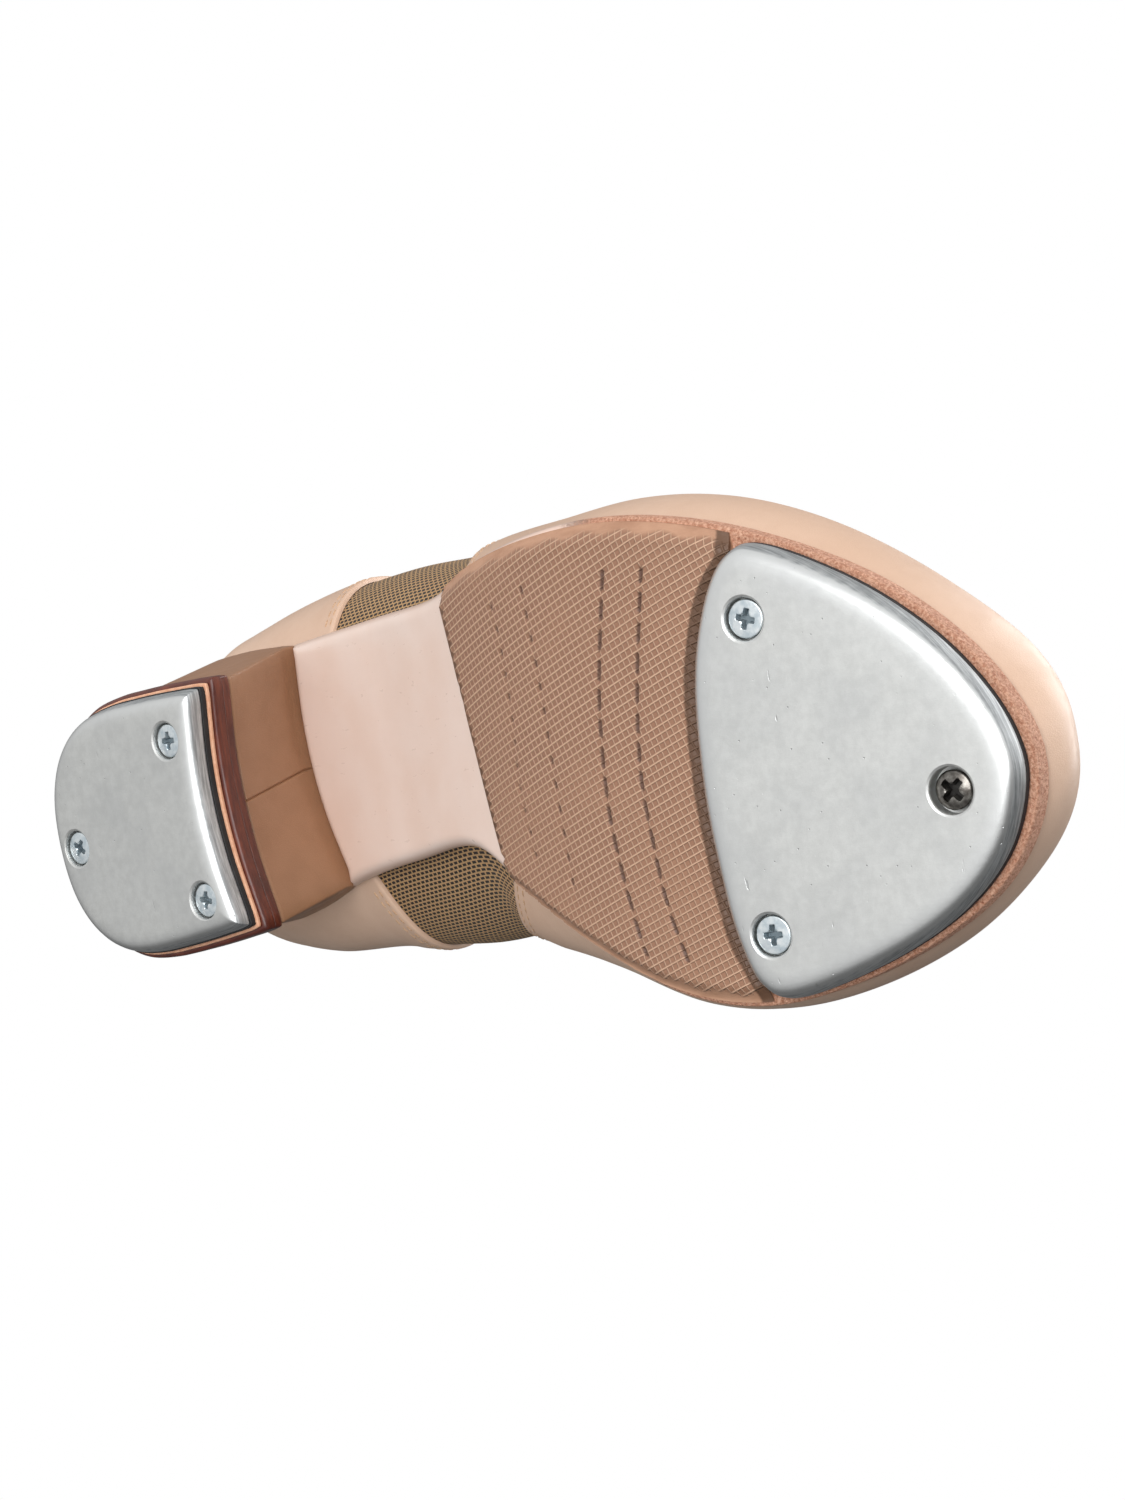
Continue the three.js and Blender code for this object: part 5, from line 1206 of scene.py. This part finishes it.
row = (0.35 + 2.45 * crowd(50))[:, None]
across = (2 * crowd(12) - 1)[None, :]
row, angle = np.broadcast_arrays(row, np.pi / 2 + across * BACK_STRIP / 2 / back_breadth(row))
fit_out(shell("back_strip_leather", row, angle, -0.95, 0.02, 0.35), "shoe", "upper_leather", CALF,
        "back_strip")

# ---- stitches ------------------------------------------------------------------------------------
# Bonded nylon thread, lockstitched at four to the centimetre: two rows along each gore seam, and
# one down each side of the back strip.


def bonded_nylon(wire):
    fuzz = wire.noise(wire.places(), 0.3, 3)
    ply = wire.maths("SINE", wire.axis(wire.places(), 2) * 22.0)
    return {"Base Color": wire.blend(fuzz.step(0.3, 0.7), "B98E6A", "D9B48F"),
            "Roughness": fuzz * 0.2 + 0.5, "Normal": wire.relief(ply * 0.03)}


def stitch_row(row, angle, lift=0.0, pitch=2.5, long=1.9, thick=0.42):
    """Lens-shaped stitches sunk in the skin along a path: at each pitch of the path's length, an
    ellipsoid drawn on the path's tangent, its side and the skin's normal."""
    path, under = upper_point(row, angle, -lift), upper_point(row, angle, 1.0)
    length = np.concatenate([[0], np.cumsum(np.linalg.norm(np.diff(path, axis=0), axis=1))])
    at = np.arange(pitch, length[-1] - pitch / 2, pitch)

    def read(values):
        return np.stack([np.interp(at, length, values[:, k]) for k in range(3)], 1)
    spot, ahead = read(path), read(np.gradient(path, axis=0))
    ahead = unit(ahead)
    out = read(path - under)
    out -= ahead * np.sum(out * ahead, 1, keepdims=True)
    out = unit(out)
    beside = np.cross(ahead, out)
    turn = circle(6)
    run = np.array([-1, -0.72, 0, 0.72, 1])
    fat = np.array([0.12, 0.75, 1, 0.75, 0.12])
    local = np.stack([np.repeat(run[:, None] * long / 2, 6, 1),
                      fat[:, None] * np.cos(turn) * thick / 2,
                      fat[:, None] * np.sin(turn) * thick / 2], -1).reshape(-1, 3)
    frame_of = np.stack([ahead, beside, out], 1)
    points = spot[:, None] + np.einsum("pk,nkc->npc", local, frame_of)
    ends = [[0, 1, 2, 3], [0, 3, 4, 5], [24, 27, 26, 25], [24, 29, 28, 27]]
    faces = np.concatenate([quads(5, 6, wrap=True)[:, ::-1], ends])
    base = (np.arange(len(at)) * len(local))[:, None, None]
    return points.reshape(-1, 3), (faces[None] + base).reshape(-1, 4)


def seam_stitches(side, seam, lean, way, back):
    """One row beside a gore seam: moved off it by back millimetres, at the skin's speed there."""
    share = np.linspace(0.02, 0.93, 120)
    seam_row = seam + lean * share
    angle = wall_angle(seam_row, share, side)
    speed = np.linalg.norm(skin(seam_row + 0.01, angle) - skin(seam_row - 0.01, angle),
                           axis=-1) / 0.02
    path_row = seam_row + way * back / speed
    return stitch_row(path_row, wall_angle(path_row, share, side))


stitched = []
for side in (-1, 1):
    for back in (1.6, 3.6):
        stitched.append(seam_stitches(side, REAR_SEAM, REAR_LEAN, -1, back))
        stitched.append(seam_stitches(side, FRONT_SEAM, FRONT_LEAN, 1, back))
    strip_row = np.linspace(0.5, 2.7, 120)
    reach = (BACK_STRIP / 2 - 1.5) / back_breadth(strip_row)
    stitched.append(stitch_row(strip_row, np.pi / 2 + side * reach, 0.95))
start = np.cumsum([0] + [len(points) for points, _ in stitched])
thread = make("upper_stitches", np.concatenate([points for points, _ in stitched]),
              np.concatenate([faces + first for (_, faces), first in zip(stitched, start)]))
fit_out(thread, "shoe", "upper_leather",
        finish_of("tan thread", {"Sheen Weight": 0.3}, bonded_nylon))

# ---- studio --------------------------------------------------------------------------------------
# A pale floor that only shows from above, since the shoe is looked at from under its sole, soft
# boxes on the sole's side and overhead, and a camera on the toe side below the floor.
LOOK = np.array([0.017124, 0.687068, 0.726392])
IMAGE_RIGHT = np.array([0.174687, -0.717380, 0.674426])
IMAGE_DOWN = np.array([0.984475, 0.115342, -0.132306])
CAMERA_AT = (np.array([-10.793232, -558.147679, -428.347161]) + LAST_SHIFT) / 1000
FOCAL_SHARE = 3280.7 / 1500  # focal length over the frame's long side
SENSOR = 36.0

seen = bpy.data.cameras.new("camera")
seen.sensor_width, seen.lens = SENSOR, SENSOR * FOCAL_SHARE
seen.clip_start, seen.clip_end = 0.01, 50
camera = place("camera", seen)
camera.matrix_world = Matrix.Translation(Vector(CAMERA_AT)) @ Matrix(
    np.stack([IMAGE_RIGHT, -IMAGE_DOWN, -LOOK], 1).tolist()).to_4x4()
bpy.context.scene.camera = camera


def floor_paint(wire):
    cloud = wire.noise(wire.places(), 300, 2)
    return {"Base Color": wire.blend(cloud, "F2F1EF", "F7F6F4")}


FLOOR_HALF, FLOOR_LEVEL = 20000, -0.3
corners = np.array([[-1, -1], [1, -1], [1, 1], [-1, 1]]) * FLOOR_HALF
floor = make("floor", np.column_stack([corners, np.full(4, FLOOR_LEVEL)]), np.array([[0, 1, 2, 3]]))
floor.data.materials.append(finish_of("pale floor", {"Roughness": 0.9}, floor_paint))
paint = Wire(floor.data.materials[0].node_tree)
plain = Wire(paint.tree, paint.tree.nodes["Principled BSDF"].outputs[0])
one_sided = paint.add("MixShader", {}, {0: paint.add("NewGeometry", out="Backfacing"), 1: plain,
                                        2: paint.add("BsdfTransparent")})
paint.tree.links.new(one_sided.socket, paint.tree.nodes["Material Output"].inputs["Surface"])
floor.visible_shadow = floor.visible_diffuse = floor.visible_glossy = False


def soft_box(name, at, size, power):
    """Area lamp at a place in metres, turned to the middle of the shoe."""
    lamp = bpy.data.lights.new(name, "AREA")
    lamp.shape, lamp.size, lamp.size_y, lamp.energy = "RECTANGLE", size[0], size[1], power
    made = place(name, lamp)
    made.location = at
    made.rotation_euler = (Vector(SHOE_MIDDLE) - Vector(at)).to_track_quat("-Z", "Y").to_euler()


SHOE_MIDDLE = np.array([0.0, 0.0, 0.03])
beside_camera = SHOE_MIDDLE - LOOK * 1.1
soft_box("key", beside_camera - IMAGE_DOWN * 0.25 - IMAGE_RIGHT * 0.25, (0.8, 0.8), 10)
soft_box("fill", beside_camera + IMAGE_DOWN * 0.5 - IMAGE_RIGHT * 0.6, (1.2, 1.2), 0.8)
soft_box("toe strip", SHOE_MIDDLE + IMAGE_RIGHT * 0.9 - LOOK * 0.35 - IMAGE_DOWN * 0.5,
         (0.3, 1.2), 1.5)
soft_box("overhead", np.array([-0.3, -0.4, 1.2]), (1.2, 1.2), 18)

# The room is white to the eye, and lights the shoe most from the outer side and from below.
BRIGHT_SIDE, DARK_SIDE, BRIGHT_WAY = 0.86, 0.15, (-0.7, 0.1, -0.7)
sky = bpy.data.worlds.new("studio")
sky.use_nodes = True
room = Wire(sky.node_tree)
sideways = room.add("VectorMath", {"operation": "DOT_PRODUCT"}, {
    0: room.add("TexCoord", out="Generated"), 1: BRIGHT_WAY}, out="Value")
lit = room.add("MapRange", {"interpolation_type": "SMOOTHSTEP"}, {
    "Value": sideways, "From Min": -0.3, "From Max": 0.9,
    "To Min": DARK_SIDE, "To Max": BRIGHT_SIDE})
direct = room.add("LightPath", out="Is Camera Ray")
sky.node_tree.links.new((lit * (1 - direct) + direct).socket,
                        sky.node_tree.nodes["Background"].inputs["Strength"])
sky.node_tree.nodes["Background"].inputs["Color"].default_value = (1, 1, 1, 1)
bpy.context.scene.world = sky
bpy.context.scene.view_settings.view_transform = "Standard"
